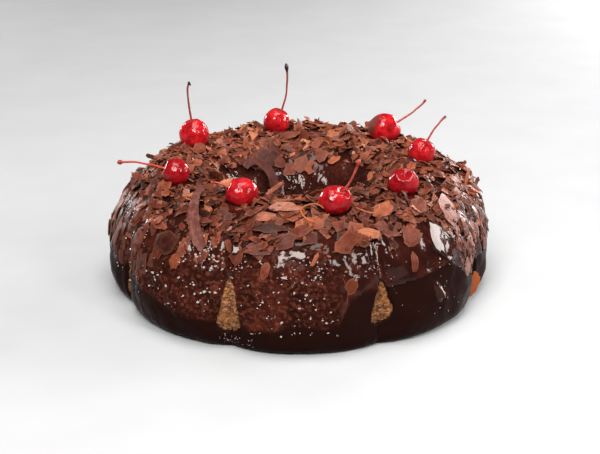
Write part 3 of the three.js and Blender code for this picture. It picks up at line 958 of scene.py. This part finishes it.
def lay(
    heap, rng, pile, plate, place, size, spin_deg, lean_deg,
    curl=0.0, twist=0.0, thick=0.7, sink=0.0, corners=None, into=0.0, **marks,
):
    """Lays one shaving on what is already there, unless it would meet a cherry or a stem. The
    place is a turn and a share, the size a length and a width, and lean tips it up along its
    length and across it."""
    column, row = heap.column_at(place[0]), heap.row_at(place[1])
    length, width = size
    origin, axes = heap.base[column, row], heap.axes_at(column, row)
    spin = math.radians(spin_deg)
    cos, sin = math.cos(spin), math.sin(spin)
    outline = broken_outline(rng, plate["sides"], corners)
    cells = heap.window(column, row, 0.5 * length)
    local = (heap.top[cells] - origin) @ axes.T
    u = local[..., 0] * cos + local[..., 1] * sin
    v = -local[..., 0] * sin + local[..., 1] * cos
    rim_turn = np.arctan2(outline[:, 1], outline[:, 0])
    order = np.argsort(rim_turn)
    reach = np.hypot(outline[:, 0], outline[:, 1])[order]
    x, y = u / (0.5 * length), v / (0.5 * width)
    limit = np.interp(np.arctan2(y, x), rim_turn[order], reach, period=2 * math.pi)
    covered = np.hypot(x, y) < limit
    if covered.sum() < LEAST_CELLS:
        return
    u, v, ground = u[covered], v[covered], local[..., 2][covered]

    def bent(u, v):
        return arch(u, curl) + twist * u * v / length

    design = np.column_stack([u, v, np.ones(len(u))])
    (slope_u, slope_v, _), *_ = np.linalg.lstsq(design, ground, rcond=None)
    slope_u = np.clip(slope_u, -STEEPEST, STEEPEST) + math.tan(math.radians(lean_deg[0]))
    slope_v = np.clip(slope_v, -STEEPEST, STEEPEST) + math.tan(math.radians(lean_deg[1]))
    under = slope_u * u + slope_v * v + bent(u, v)
    lean = min(1.0, max(abs(lean_deg[0]), abs(lean_deg[1])) / 40)
    level = np.quantile(ground - under, mix(0.8, 0.66, lean)) + (0.5 - sink) * thick

    rings = np.concatenate([[0.0], np.repeat(plate["rings"], plate["sides"])])
    flat = np.vstack([[0, 0]] + [outline * ring for ring in plate["rings"]]) * [0.5 * length, 0.5 * width]
    wavy = 0.22 * noise(flat[:, 0] / 4.5, flat[:, 1] / 4.5, rng.uniform(0, 50), seed=9)
    rise = bent(flat[:, 0], flat[:, 1]) + wavy * min(1, length / 10)
    # The outer ring is the rim: it is made thinner, and its mark paints a highlight there.
    rim = np.where(rings > 0.99, 1.0, 0.0)
    half = 0.5 * thick * (1 - 0.5 * rim)
    along = unit([cos, sin, slope_u])
    across = np.array([-sin, cos, slope_v])
    up = unit(np.cross(along, across))
    tilted = np.stack([along, np.cross(up, along), up])
    shell = np.vstack([np.column_stack([flat, rise + half]), np.column_stack([flat, rise - half])])
    corners_out = (shell @ tilted + [0, 0, level]) @ axes + origin
    if not clear_of_fruit(corners_out, into):
        return
    grain = np.tile(flat[:, 1], 2) + rng.uniform(0, 100)
    pile.add(corners_out, plate["faces"], rim=np.tile(rim, 2), grain=grain, **marks)

    # The map rises to the shaving's upper face, but not to the tips of those that stand up.
    grown, tops = heap.grown[cells], heap.top[cells]
    raised = np.clip(under + level + 0.5 * thick - ground, 0, MOST_RISE)
    raised = PACKED * np.minimum(raised, HEAP_LIMIT - grown[covered])
    grown[covered] += raised
    tops[covered] += axes[2] * raised[:, None]
    heap.grown[cells], heap.top[cells] = grown, tops


def ribbon(heap, rng, pile, path, width, thick=0.8, cup=0.0, roll_deg=(0.0, 0.0), **marks):
    """A long strip over places given as a turn, a share and a height above the bed's base."""
    count, across = 30, 7
    knots, t = np.linspace(0, 1, len(path)), np.linspace(0, 1, count)
    order = min(3, len(path) - 1)
    turns, shares, lifts = (np.polyval(np.polyfit(knots, values, order), t) for values in zip(*path))
    cells = [(heap.column_at(turn), heap.row_at(share)) for turn, share in zip(turns, shares)]
    normal = np.array([heap.normal[cell] for cell in cells])
    theta = theta_of(turns)
    middle = points_at(theta, *coat_surface(theta, shares)) + normal * lifts[:, None]
    ahead = units(np.gradient(middle, axis=0))
    side = units(np.cross(normal, ahead))
    out = np.cross(ahead, side)
    roll = np.radians(np.linspace(*roll_deg, count))[:, None]
    side, out = side * np.cos(roll) + out * np.sin(roll), out * np.cos(roll) - side * np.sin(roll)
    v = np.linspace(-0.5, 0.5, across)
    spread = width * (0.45 + 0.55 * np.sin(math.pi * np.clip(t, 0.04, 0.96)) ** 0.5)[:, None]
    ragged = 1 + 0.16 * np.where(np.abs(v) > 0.4, 1.0, 0.2) * rng.uniform(-1, 1, (count, across))
    bent = cup * width * (2 * v) ** 2
    loops = []
    for face, places in ((0.5, v), (-0.5, v[::-1])):
        edge = np.where(np.abs(places) > 0.49, 0.6, 1.0)
        loops.append(
            middle[:, None]
            + side[:, None] * (places * spread * ragged)[..., None]
            + out[:, None] * (bent + face * thick * edge)[None, :, None]
        )
    loop = np.concatenate(loops, axis=1)
    corners = np.vstack([loop.reshape(-1, 3), loop[0].mean(axis=0)[None], loop[-1].mean(axis=0)[None]])
    grain = np.concatenate([np.tile(np.r_[v, v[::-1]] * width, count), [0, 0]]) + rng.uniform(0, 100)
    pile.add(corners, tube_faces(count, 2 * across)[:, ::-1], grain=grain, **marks)


def random_place(rng):
    """A turn and share, most often on the full bed and more rarely at its margins."""
    while True:
        turn, share = rng.uniform(-180, 180), rng.uniform(1.2, THROAT["end"])
        edge = np.interp(turn, EDGE_TURNS, EDGE_SHARES)
        chance = between(share, edge - 0.08, edge + 0.03, THROAT["full"], THROAT["end"])
        if rng.random() < chance**1.4:
            return turn, share


# Small lumps in the coat, by where they are: turns, heights, how many, least and greatest radius.
LUMPS = (
    ((-24, 11), (14, 58), 100, 0.4, 1.2),
    ((-7, 8), (46, 59), 45, 0.4, 0.9),
    ((-38, -22), (49, 65), 90, 0.4, 1.3),
    ((-50, -26), (22, 50), 34, 0.5, 1.2),
    ((-32, -24), (26, 37), 10, 1.0, 1.7),
    ((-74, -50), (16, 62), 50, 0.35, 0.8),
    ((15, 27), (46, 60), 45, 0.5, 1.3),
    ((26, 50), (18, 56), 18, 0.4, 0.9),
    ((40, 62), (42, 66), 40, 0.5, 1.4),
    ((40, 56), (12, 34), 14, 0.4, 1.0),
    ((-24, -13), (4, 11), 40, 0.25, 0.5),
    ((52, 86), (26, 68), 240, 0.3, 0.9),
    ((128, 232), (14, 58), 120, 0.4, 0.9),
)
# Broad smooth ones: turn, height, radii across and up.
SMOOTH_LUMPS = (
    (-5.0, 59.5, 4.8, 9.0), (-0.6, 61.5, 6.0, 4.5), (45.3, 59, 9.0, 12.0), (24.2, 58, 4.2, 10.5),
    (43.3, 29, 1.8, 6.0), (19.0, 56, 5.0, 4.5), (34.0, 66, 5.0, 4.0), (-18.5, 61, 3.2, 4.5),
    (-34.5, 58, 3.0, 6.5), (-4.0, 50, 2.0, 1.6),
)
# Which way their wet faces look: turn and rise, by their own turn.
FACING_AT = (-180, -90, -62, -54, 10, 15, 36, 41, 90, 180)
FACING_TURN = (-180, -72, -72, -5, -5, 19, 19, 49, 90, 180)
FACING_RISE = (32, 40, 40, 33, 33, 28, 28, 31, 32, 32)


def add_lump(rng, pile, plate, origin, outward, turn, size, vary=2.5, dome=0.0):
    """A lump with a slanting flat top, whose foot is sunk in the coat."""
    facing_turn = math.radians(np.interp(turn, FACING_AT, FACING_TURN) + rng.normal(0, vary))
    rise = math.radians(np.interp(turn, FACING_AT, FACING_RISE) + rng.normal(0, vary))
    level = math.cos(rise)
    facing = np.array([math.sin(facing_turn) * level, -math.cos(facing_turn) * level, math.sin(rise)])
    across = unit(np.cross([0.0, 0.0, 1.0], facing))
    axes = np.stack([across, np.cross(facing, across)])
    spin = 0.2 * vary * rng.normal()
    turned = np.array([[math.cos(spin), math.sin(spin)], [-math.sin(spin), math.cos(spin)]])
    outline = (broken_outline(rng, plate["sides"]) * size) @ turned
    flat = np.vstack([[0, 0]] + [outline * ring for ring in plate["rings"]])
    offsets = flat @ axes
    clear = 0.12 - 0.3 * dome - (offsets @ outward).min()
    far = np.concatenate([[0.0], np.repeat(plate["rings"], plate["sides"])])
    uneven = 0.4 * dome * noise(offsets[:, 0] / 2.5, offsets[:, 2] / 2.5, turn, seed=15)
    top = origin + outward * clear + offsets + facing * (dome * (1 - far**2) + uneven)[:, None]
    foot = origin + 1.12 * (offsets - (offsets @ outward)[:, None] * outward) - 0.6 * outward
    pile.add(np.vstack([top, foot]), plate["faces"])


def make_lumps(points, normals, turns, heap):
    """Lumps at the wanted turns and heights, on the coat's outer side or on what lies on it."""
    rng = np.random.default_rng(23)
    outer = np.flatnonzero(heap.share < 1.9)

    def place(cell):
        column = heap.column_at(turns[cell])
        row = outer[np.argmin(np.abs(heap.base[column, outer, 2] - points[cell, 2]))]
        if heap.grown[column, row] > 0.1:
            return heap.top[column, row], heap.normal[column, row]
        return points[cell], normals[cell]

    pile = Pile("coat_lumps", ("crumb", "streak", "pool"))
    for (first, last), (low, high), count, least, greatest in LUMPS:
        at = turns if last <= 180 else turns % 360
        inside = np.flatnonzero((at > first) & (at < last) & (points[:, 2] > low) & (points[:, 2] < high))
        for cell in rng.choice(inside, count):
            size = mix(least, greatest, rng.random() ** 1.8) * np.array([1.0, rng.uniform(0.5, 0.9)])
            add_lump(rng, pile, CHIP, *place(cell), turns[cell], size)
    for turn, height, *size in SMOOTH_LUMPS:
        cell = np.argmin(np.abs(turns - turn) + np.abs(points[:, 2] - height))
        dome = min(0.3, 0.025 * sum(size))
        add_lump(rng, pile, FINE_PLATE, points[cell], normals[cell], turn, np.array(size), 0.5, dome)
    pile.make(coat_material("chocolate_lump", 0.22, 0.22))


# What comes down, in order: pile, plate, how many, shortest, longest, narrowest, lean, most curl
# and how much darker than the rest.
LAYERS = (
    ("shavings", PLATE, 1000, 5.0, 11.0, 0.5, 8, 0.14, 0.14),
    ("shavings_large", FINE_PLATE, 330, 12.0, 22.0, 0.35, 12, 0.1, 0.08),
    ("shavings", PLATE, 380, 4.5, 10.0, 0.45, 26, 0.24, 0.04),
    ("shavings_large", FINE_PLATE, 300, 10.0, 20.0, 0.35, 24, 0.14, 0.0),
    ("shards", CHIP, 1100, 1.6, 5.0, 0.4, 26, 0.1, 0.0),
    ("shavings_upright", PLATE, 420, 5, 12.0, 0.5, 50, 0.18, 0.0),
)

STRAYS = 260  # crumbs of shavings below the bed's edge
LEANING = 13  # flakes that lean on each cherry

# Shavings that stand out: turn, share, length, width, spin, lean along and across, curl, and
# marks for tone, cool and amber.
SINGLES = (
    (36.2, 1.50, 17, 15, 80, 6, 0, -0.07, 0.4, 0.3, 0.05),
    (56.5, 1.60, 25, 16, 62, 0, 0, -0.012, 0.6, 0.8, 0.0),
    (-34.0, 1.95, 18, 11, 12, 4, 12, -0.05, 0.9, 0.1, 0.1),
    (-45.0, 1.90, 16, 8, 30, 8, 10, 0.07, 0.8, 0.0, 0.05),
    (14.5, 1.55, 17, 13, 35, 8, 12, 0.05, 0.4, 0.0, 0.05),
    (22.5, 1.60, 22, 6.5, -14, 4, 28, -0.05, 0.8, 0.0, 0.0),
    (-38.2, 1.325, 11, 9.5, 70, 0, 0, -0.03, 0.5, 0.0, 0.1),
    (-9.2, 1.364, 12, 6, 82, 0, 0, -0.05, 0.42, 0.0, 0.05),
    (4.8, 1.431, 9.5, 2.8, 62, 6, 0, 0.0, 0.6, 0.0, 0.05),
    (14.8, 1.237, 12, 9, 70, 2, 0, -0.03, 0.25, 0.0, 0.08),
    (-18.5, 1.42, 14, 9, 78, 5, 0, -0.06, 0.4, 0.2, 0.0),
    (-29.0, 1.40, 12, 6, 70, 4, 0, -0.06, 0.4, 0.2, 0.0),
    (35.2, 1.31, 15, 6, 84, 0, 0, -0.08, 0.3, 0.0, 0.05),
    (48.0, 1.39, 7, 4.5, 80, 0, 0, -0.05, 0.12, 0.8, 0.0),
    (59.0, 1.43, 8, 5, 70, 0, 0, -0.05, 0.2, 0.0, 0.2),
    (72.0, 0.68, 19, 11, 84, 0, -14, -0.03, 0.45, 0.0, 0.75),
    (84.0, 1.62, 17, 12, 80, 52, 0, 0.03, 0.6, 0.0, 0.4),
    (-43.5, 1.43, 17, 20, 84, 0, 0, -0.03, 0.12, 0.0, 0.0),
    (-36.0, 1.43, 18, 6.5, 76, 4, 6, -0.03, 0.5, 0.2, 0.0),
    (-152.2, 2.40, 15, 10, 20, 6, 0, 0.04, 0.3, 0.8, 0.0),
    (-157.0, 2.45, 18, 11, 60, 6, 0, -0.04, 0.2, 0.8, 0.0),
    (-141.0, 2.44, 15, 9, 60, 10, 6, 0.05, 0.3, 0.8, 0.0),
    (162.0, 2.42, 13, 10, 75, 10, 0, -0.03, 0.5, 0.3, 0.0),
    (150.0, 2.44, 12, 7, 60, 20, 0, -0.05, 0.7, 0.0, 0.1),
    (178.0, 2.53, 15, 11, 80, 6, 0, 0.04, 0.5, 0.2, 0.0),
    (-172.0, 2.57, 13, 10, 60, 8, 0, -0.03, 0.42, 0.1, 0.0),
    (169.0, 2.56, 12, 9, 75, 8, 0, 0.04, 0.5, 0.0, 0.1),
    (-164.0, 2.50, 13, 9, 40, 12, 0, -0.03, 0.4, 0.4, 0.0),
    (-5.5, 1.93, 22, 10, 4, 2, 8, -0.03, 0.72, 0.8, 0.0),
    (6.5, 1.90, 17, 9, -8, 4, 10, -0.04, 0.8, 0.6, 0.0),
    (-12.0, 1.78, 18, 9, 10, 8, 8, -0.04, 0.65, 0.3, 0.0),
    (2.0, 1.74, 14, 8, -15, 8, 14, 0.05, 0.7, 0.0, 0.05),
    # A near-black flake laid where the bed has a shadowed gap: painted shade.
    (-9.5, 1.68, 26, 8, 8, 0, -12, -0.03, 0.14, 0.6, 0.0),
    (1.0, 1.66, 17, 10, 12, 6, 0, -0.04, 0.4, 0.2, 0.0),
    (-4.0, 1.58, 15, 10, 25, 10, 0, -0.05, 0.35, 0.5, 0.0),
    (30.0, 1.78, 18, 10, -10, 12, 12, -0.05, 0.65, 0.0, 0.05),
    (44.0, 1.72, 16, 12, 50, 4, 0, -0.02, 0.5, 0.5, 0.0),
)

# Flakes half melted into the coat: turns, shares, how many, longest, narrowest and widest, and
# marks for tone and cool.
GLAZED = (
    # The first two rows, on the right side, are given a paler, cooler tone: painted sheen, for the pale lilac
    # reflection on that side.
    ((55, 128), (1.12, 1.62), 290, 19, 0.25, 0.55, 0.52, 0.8),
    ((47, 58), (1.45, 1.62), 12, 14, 0.4, 0.6, 0.4, 0.6),
    ((-128, -46), (1.12, 1.58), 120, 26, 0.35, 0.6, 0.3, 0.2),
    ((128, 232), (1.15, 1.5), 110, 14, 0.3, 0.7, 0.3, 0.4),
    ((-46, -22), (1.36, 1.56), 9, 14, 0.4, 0.7, 0.28, 0.1),
)

# Long strips: places along them, width, cup, roll, tone and how cool.
RIBBONS = (
    (((-41.0, 1.93, 7.5), (-38.0, 1.78, 8.5), (-34.8, 1.62, 6.5), (-31.5, 1.50, 4.0), (-29.5, 1.45, 1.5)),
     7.0, 0.05, (14, -10), 0.5, 0.8),
    (((-126, 2.50, 3.0), (-140, 2.50, 4.5), (-149, 2.60, 4.5), (-152, 2.73, 3.0), (-148, 2.80, 2.0)),
     6.5, 0.1, (0, 0), 0.3, 0.7),
    (((-13.5, 2.0, 4.0), (-11.5, 2.08, 6.5), (-9.0, 2.14, 9.5)), 3.2, 0.35, (0, 0), 0.62, 0.3),
    (((-36, 2.02, 5.5), (-32, 2.05, 7.6), (-27, 2.0, 6.5)), 8.0, 0.12, (20, 20), 0.85, 0.1),
)

# Thin threads that shaving leaves: places along them, tone, and how amber.
THREADS = (
    (((-6, 1.80, 5.5), (-2, 1.84, 6.8), (2, 1.80, 5.8)), 0.75, 0.4),
    (((1, 1.84, 6.2), (1.5, 1.74, 7.0), (5.5, 1.68, 5.8)), 0.75, 0.5),
    (((0, 1.80, 6.2), (5, 1.86, 7.2), (9, 1.82, 6.0)), 0.75, 0.4),
    (((-46, 1.80, 5.5), (-42, 1.76, 6.8), (-36, 1.80, 6.0)), 0.75, 0.3),
    (((20, 1.80, 5.5), (25, 1.72, 6.8), (29, 1.78, 5.8)), 0.75, 0.3),
    (((12.2, 1.30, 0.4), (13.4, 1.20, 0.7), (12.6, 1.10, 0.4)), 0.35, 0.0),
)


def make_shavings():
    rng = np.random.default_rng(11)
    heap = Heap()
    names = ("shavings", "shavings_large", "shavings_upright", "shards", "shavings_single", "shavings_glazed")
    piles = {name: Pile(name) for name in names}

    def shades(turn, darker=0.0):
        # Shavings towards the back of the ring are painted a little lighter: painted light, for the brighter
        # light on the back crest.
        lit_back = -0.08 * math.cos(math.radians(turn))
        return dict(
            tone=np.clip(rng.normal(0.47, 0.16) + lit_back - darker, 0.05, 0.9),
            cool=np.clip(rng.normal(0.0, 0.35), 0, 1),
            amber=max(0.0, rng.normal(-0.45, 0.25)),
        )

    for turns, shares, count, longest, narrow, wide, tone, cool in GLAZED:
        pile = piles["shavings_glazed" if cool > 0.3 else "shavings_large"]
        for _ in range(count):
            length = rng.uniform(0.4, 1.0) * longest
            lay(
                heap, rng, pile, FINE_PLATE, (rng.uniform(*turns), rng.uniform(*shares)),
                (length, length * rng.uniform(narrow, wide)),
                spin_deg=90 + rng.normal(0, 22), lean_deg=rng.normal(0, 3, 2),
                curl=rng.uniform(-0.1, 0.02), twist=rng.uniform(-0.2, 0.2), thick=rng.uniform(0.7, 1.2),
                sink=0.45, tone=np.clip(rng.normal(tone, 0.16), 0.05, 0.8),
                cool=np.clip(rng.normal(cool, 0.25), 0, 1),
            )
    for name, plate, count, shortest, longest, narrow, lean, most_curl, darker in LAYERS:
        for _ in range(count):
            length, place = mix(shortest, longest, rng.random() ** 1.3), random_place(rng)
            lay(
                heap, rng, piles[name], plate, place, (length, length * rng.uniform(narrow, narrow + 0.4)),
                spin_deg=rng.normal(0, 45) if plate is FINE_PLATE else rng.uniform(0, 360),
                lean_deg=np.clip(rng.normal(0, 0.6, 2) * lean, -52, 52),
                curl=rng.uniform(-most_curl, 0.7 * most_curl),
                twist=rng.uniform(-0.12, 0.12),
                thick=rng.uniform(0.5, 0.9),
                **shades(place[0], darker),
            )
    for _ in range(STRAYS):
        turn, length = rng.uniform(-62, 62), rng.uniform(1.0, 2.8)
        share = np.interp(turn, EDGE_TURNS, EDGE_SHARES) + 0.02 - 0.2 * rng.random() ** 1.6
        lay(
            heap, rng, piles["shards"], CHIP, (turn, share), (length, length * rng.uniform(0.5, 0.9)),
            spin_deg=rng.uniform(0, 360), lean_deg=rng.normal(0, 14, 2), sink=-0.3, **shades(turn, -0.08),
        )
    # Flakes that lean on the cherries and hide where they stand.
    for middle, radius in zip(CHERRY_MIDDLES, CHERRY_RADII):
        for step in range(LEANING):
            angle = (step + rng.uniform(-0.4, 0.4)) * 2 * math.pi / LEANING
            toward = np.array([math.cos(angle), math.sin(angle)])
            turn, share = heap.place_at(*(middle[:2] + toward * radius * rng.uniform(0.95, 1.15)))
            axes = heap.axes_at(heap.column_at(turn), heap.row_at(share))
            inward = axes[:2] @ np.array([*-toward, 0.0])
            length = rng.uniform(7, 13)
            lay(
                heap, rng, piles["shavings_upright"], PLATE, (turn, share),
                (length, length * rng.uniform(0.6, 0.9)),
                spin_deg=math.degrees(math.atan2(inward[1], inward[0])) + rng.normal(0, 16),
                lean_deg=(rng.uniform(14, 38), rng.normal(0, 10)), curl=rng.uniform(-0.06, 0.02), into=0.16,
                **shades(turn),
            )
    for turn, share, length, width, spin, lean_u, lean_v, curl, tone, cool, amber in SINGLES:
        lay(
            heap, rng, piles["shavings_single"], FINE_PLATE, (turn, share), (length, width),
            spin_deg=spin, lean_deg=(lean_u, lean_v), curl=curl, corners=6, sink=-0.9 if share < 1.5 else 0.0,
            tone=tone, cool=cool, amber=amber,
        )
    for path, width, cup, roll, tone, cool in RIBBONS:
        ribbon(heap, rng, piles["shavings_single"], path, width, cup=cup, roll_deg=roll, tone=tone, cool=cool)
    for path, tone, amber in THREADS:
        ribbon(heap, rng, piles["shavings_single"], path, 0.8, thick=0.45, tone=tone, amber=amber)
    plain = shaving_material("chocolate_shaving", 0.1, 0.32)
    glazed = shaving_material("chocolate_glazed", 0.24, 0.24)
    for name, pile in piles.items():
        pile.make(glazed if name == "shavings_glazed" else plain)
    return heap


# ---- Cherries ----

# Each cherry's form: its width, depth and height against the radius; swellings (direction,
# height, width in radians), negative for dents; and the dimple's direction, depth and width.
FORMS = [
    ((1.0, 1.0, 1.06), [((0.9, -0.3, 0.3), 0.04, 0.6), ((-0.5, -0.7, -0.3), -0.03, 0.5)], (None, 0.16, 0.34)),
    (
        (1.0, 1.0, 1.04),
        [((-0.62, -0.45, 0.72), -0.12, 0.3), ((-0.8, -0.4, 0.35), 0.06, 0.4), ((0.25, -0.2, 0.95), 0.07, 0.45)],
        (None, 0.1, 0.22),
    ),
    ((1.0, 1.0, 1.02), [((0.8, -0.5, 0.2), -0.03, 0.5), ((-0.2, -0.8, 0.6), 0.03, 0.4)], (None, 0.16, 0.3)),
    (
        (1.03, 1.0, 1.02),
        [((0.45, -0.35, 0.82), -0.1, 0.34), ((-0.35, -0.3, 0.85), 0.05, 0.5), ((0.85, -0.3, 0.3), 0.05, 0.5)],
        (None, 0.14, 0.3),
    ),
    ((1.0, 1.0, 1.03), [((-0.6, -0.4, 0.7), 0.04, 0.45), ((0.7, -0.4, 0.6), 0.05, 0.45)], (None, 0.14, 0.34)),
    (
        (1.08, 1.0, 0.96),
        [((-0.55, -0.5, 0.7), 0.07, 0.4), ((0.65, -0.4, 0.65), 0.06, 0.4)],
        ((0.05, -0.55, 0.83), 0.34, 0.3),
    ),
    ((1.06, 1.0, 0.96), [((-0.5, -0.6, 0.5), 0.03, 0.6)], ((0.55, -0.35, 0.76), 0.26, 0.26)),
    (
        (1.07, 1.0, 0.97),
        [((0.75, -0.4, 0.5), 0.05, 0.35), ((-0.5, -0.7, 0.2), 0.04, 0.4), ((0.1, -0.8, 0.6), -0.04, 0.3)],
        (None, 0.16, 0.34),
    ),
]


DEEPER = (0.65, 0.05, 0.2, 0.1, 0.28, 0.6, 0.42, 0.25)  # how much darker red each cherry is
BROWNER = (0.05, 0.5, 0.4, 0.15, 0.2, 0.15, 0.1, 0.15)  # and how much browner its stem


def cherry_radius(number, direction):
    """A cherry's radius against its own, in unit directions."""
    scale, swellings, (dimple_at, depth, width) = FORMS[number - 1]
    reach = 1 / norms(direction / np.array(scale))
    for at, height, spread in swellings:
        away = np.arccos(np.clip(direction @ unit(at), -1, 1))
        reach = reach + height * bell(0, spread, away)
    stem = unit(CHERRIES[number - 1][4][0])
    away = np.arccos(np.clip(direction @ (stem if dimple_at is None else unit(dimple_at)), -1, 1))
    reach = reach - depth * bell(0, width, away) + 0.3 * depth * bell(1.9 * width, 0.5 * width, away)
    return reach + 0.018 * layered_noise(direction + number * 7.0, 0.45, 2, seed=number)


def make_cherry(number, material):
    r, middle = CHERRY_RADII[number - 1], CHERRY_MIDDLES[number - 1]
    rings, sides = 42, 64
    phi = np.arange(sides) * 2 * math.pi / sides
    down = np.linspace(0, math.pi, rings + 2)[1:-1, None]
    ball = np.stack([np.sin(down) * np.cos(phi), np.sin(down) * np.sin(phi), np.cos(down) + 0 * phi], axis=-1)
    direction = np.vstack([ball.reshape(-1, 3), [(0, 0, 1), (0, 0, -1)]])
    direction = direction @ axes_along(CHERRIES[number - 1][4][0])
    corners = direction * (0.985 * r * cherry_radius(number, direction))[:, None] + middle
    faces = tube_faces(rings, sides)[:, ::-1]
    offset = (corners - middle) / r
    smear = np.zeros(len(corners))
    if number == 4:
        toward = offset @ unit([-0.9, -0.3, 0.35])
        smear = smooth(0.72, 0.9, toward + 0.12 * layered_noise(offset * 9, 4.0, 2, seed=5))
    # Each cherry is painted darker towards its underside: painted shade, on top of its own deeper red.
    deep_and_shaded = mix(DEEPER[number - 1], 1.0, 0.75 * smooth(0.15, 0.95, -offset[:, 2]))
    marks = dict(smear=smear, deep_and_shaded=deep_and_shaded)
    make_piece(f"cherry_fruit_{number}", corners, faces, material, f"cherry_{number}", marks)


def make_stem(number, material):
    knob, knob_dark = CHERRIES[number - 1][5:]
    rings, sides = 46, 12
    t, path = stem_path(number, rings)
    radius = STEM_RADIUS * np.interp(t, [0, 0.08, 0.5, 0.8, 1], [1.4, 1.0, 0.8, 0.95, 0.95])
    radius = radius + max(0.0, knob - STEM_RADIUS) * bell(0.93, 0.055, t)
    radius = radius * np.sqrt(np.clip((1 - t) / 0.012, 0.25, 1))
    tangent = np.gradient(path, axis=0)
    turns = np.arange(sides) * 2 * math.pi / sides
    circle = np.stack([np.cos(turns), np.sin(turns)], axis=-1)
    frames = [axes_along(direction)[:2] for direction in tangent]
    loops = [place + size * circle @ axes for place, size, axes in zip(path, radius, frames)]
    corners, faces = np.vstack(loops + [path[:1], path[-1:]]), tube_faces(rings, sides)
    dark = np.clip(BROWNER[number - 1] + knob_dark * smooth(0.78, 0.93, t) + 0.2 * t, 0, 1)
    marks = dict(dark=np.concatenate([np.repeat(dark, sides), [dark[0], dark[-1]]]))
    make_piece(f"cherry_stalk_{number}", corners, faces, material, f"stem_{number}", marks)


# ---- Floor, light and camera ----

CAMERA = dict(distance=0.9, elevation=20.85, target=(0.0008, 0.0, 0.036), lens=82.8)

# Lights: turn from the front, rise, distance, size and radiance.
SOFTBOXES = dict(
    key=(-12, 42, 1.3, (0.52, 0.4), 34),
    right_front=(40, 29, 1.3, (0.24, 0.3), 26),
    right=(96, 17, 1.3, (0.54, 0.36), 24),
    right_back=(140, 14, 1.4, (0.6, 0.5), 21),
    left_back=(-135, 8, 1.4, (0.3, 0.4), 22),
    overhead=(0, 80, 1.2, (0.7, 0.7), 11),
)
WORLD_STRENGTH = 0.1
LIT_HEIGHT = 0.05  # the lights look at this height in the cake
FLOOR_HALF = 3.0


def make_floor():
    half = FLOOR_HALF
    mesh = bpy.data.meshes.new("floor")
    corners = [(-half, -half, 0), (half, -half, 0), (half, half, 0), (-half, half, 0)]
    mesh.from_pydata(corners, [], [(0, 1, 2, 3)])
    m = Nodes("floor_paper")
    color = m.ramp(m.noise(60.0, detail=2.0), (0.3, (0.35, 0.35, 0.35)), (0.7, (0.365, 0.365, 0.365)))
    mesh.materials.append(m.finish(Base_Color=color, Roughness=0.9, Specular_IOR_Level=0.1))
    new_object("floor", mesh)


def add_softbox(name, turn, rise, distance, size, radiance):
    """A rectangular light that faces the cake."""
    light = bpy.data.lights.new(name, "AREA")
    light.shape = "RECTANGLE"
    light.size, light.size_y = size
    light.energy = radiance * size[0] * size[1] * math.pi
    lamp = new_object(name, light)
    theta, up = theta_of(turn), math.radians(rise)
    toward = Vector((math.cos(theta) * math.cos(up), math.sin(theta) * math.cos(up), math.sin(up)))
    lamp.location = toward * distance + Vector((0, 0, LIT_HEIGHT))
    lamp.rotation_euler = toward.to_track_quat("Z", "Y").to_euler()


def light_scene():
    world = bpy.data.worlds.new("studio")
    bpy.context.scene.world = world
    world.use_nodes = True
    background = world.node_tree.nodes["Background"]
    background.inputs["Color"].default_value = (1, 1, 1, 1)
    background.inputs["Strength"].default_value = WORLD_STRENGTH
    for name, values in SOFTBOXES.items():
        add_softbox(name, *values)
    bpy.context.scene.view_settings.view_transform = "Standard"


def place_camera():
    camera = bpy.data.cameras.new("camera")
    camera.lens = CAMERA["lens"]
    camera.sensor_width = 36
    camera.clip_end = 50
    view = new_object("camera", camera)
    up = math.radians(CAMERA["elevation"])
    x, y, z = CAMERA["target"]
    view.location = (x, y - CAMERA["distance"] * math.cos(up), z + CAMERA["distance"] * math.sin(up))
    view.rotation_euler = (math.pi / 2 - up, 0, 0)
    bpy.context.scene.camera = view


# ---- The whole scene ----

place_camera()
light_scene()
make_floor()
make_sponge()
coat_side = make_coat()
bed = make_shavings()
make_lumps(*coat_side, bed)
fruit = cherry_material()
stalk = stem_material()
for number in range(1, len(CHERRIES) + 1):
    make_cherry(number, fruit)
    make_stem(number, stalk)
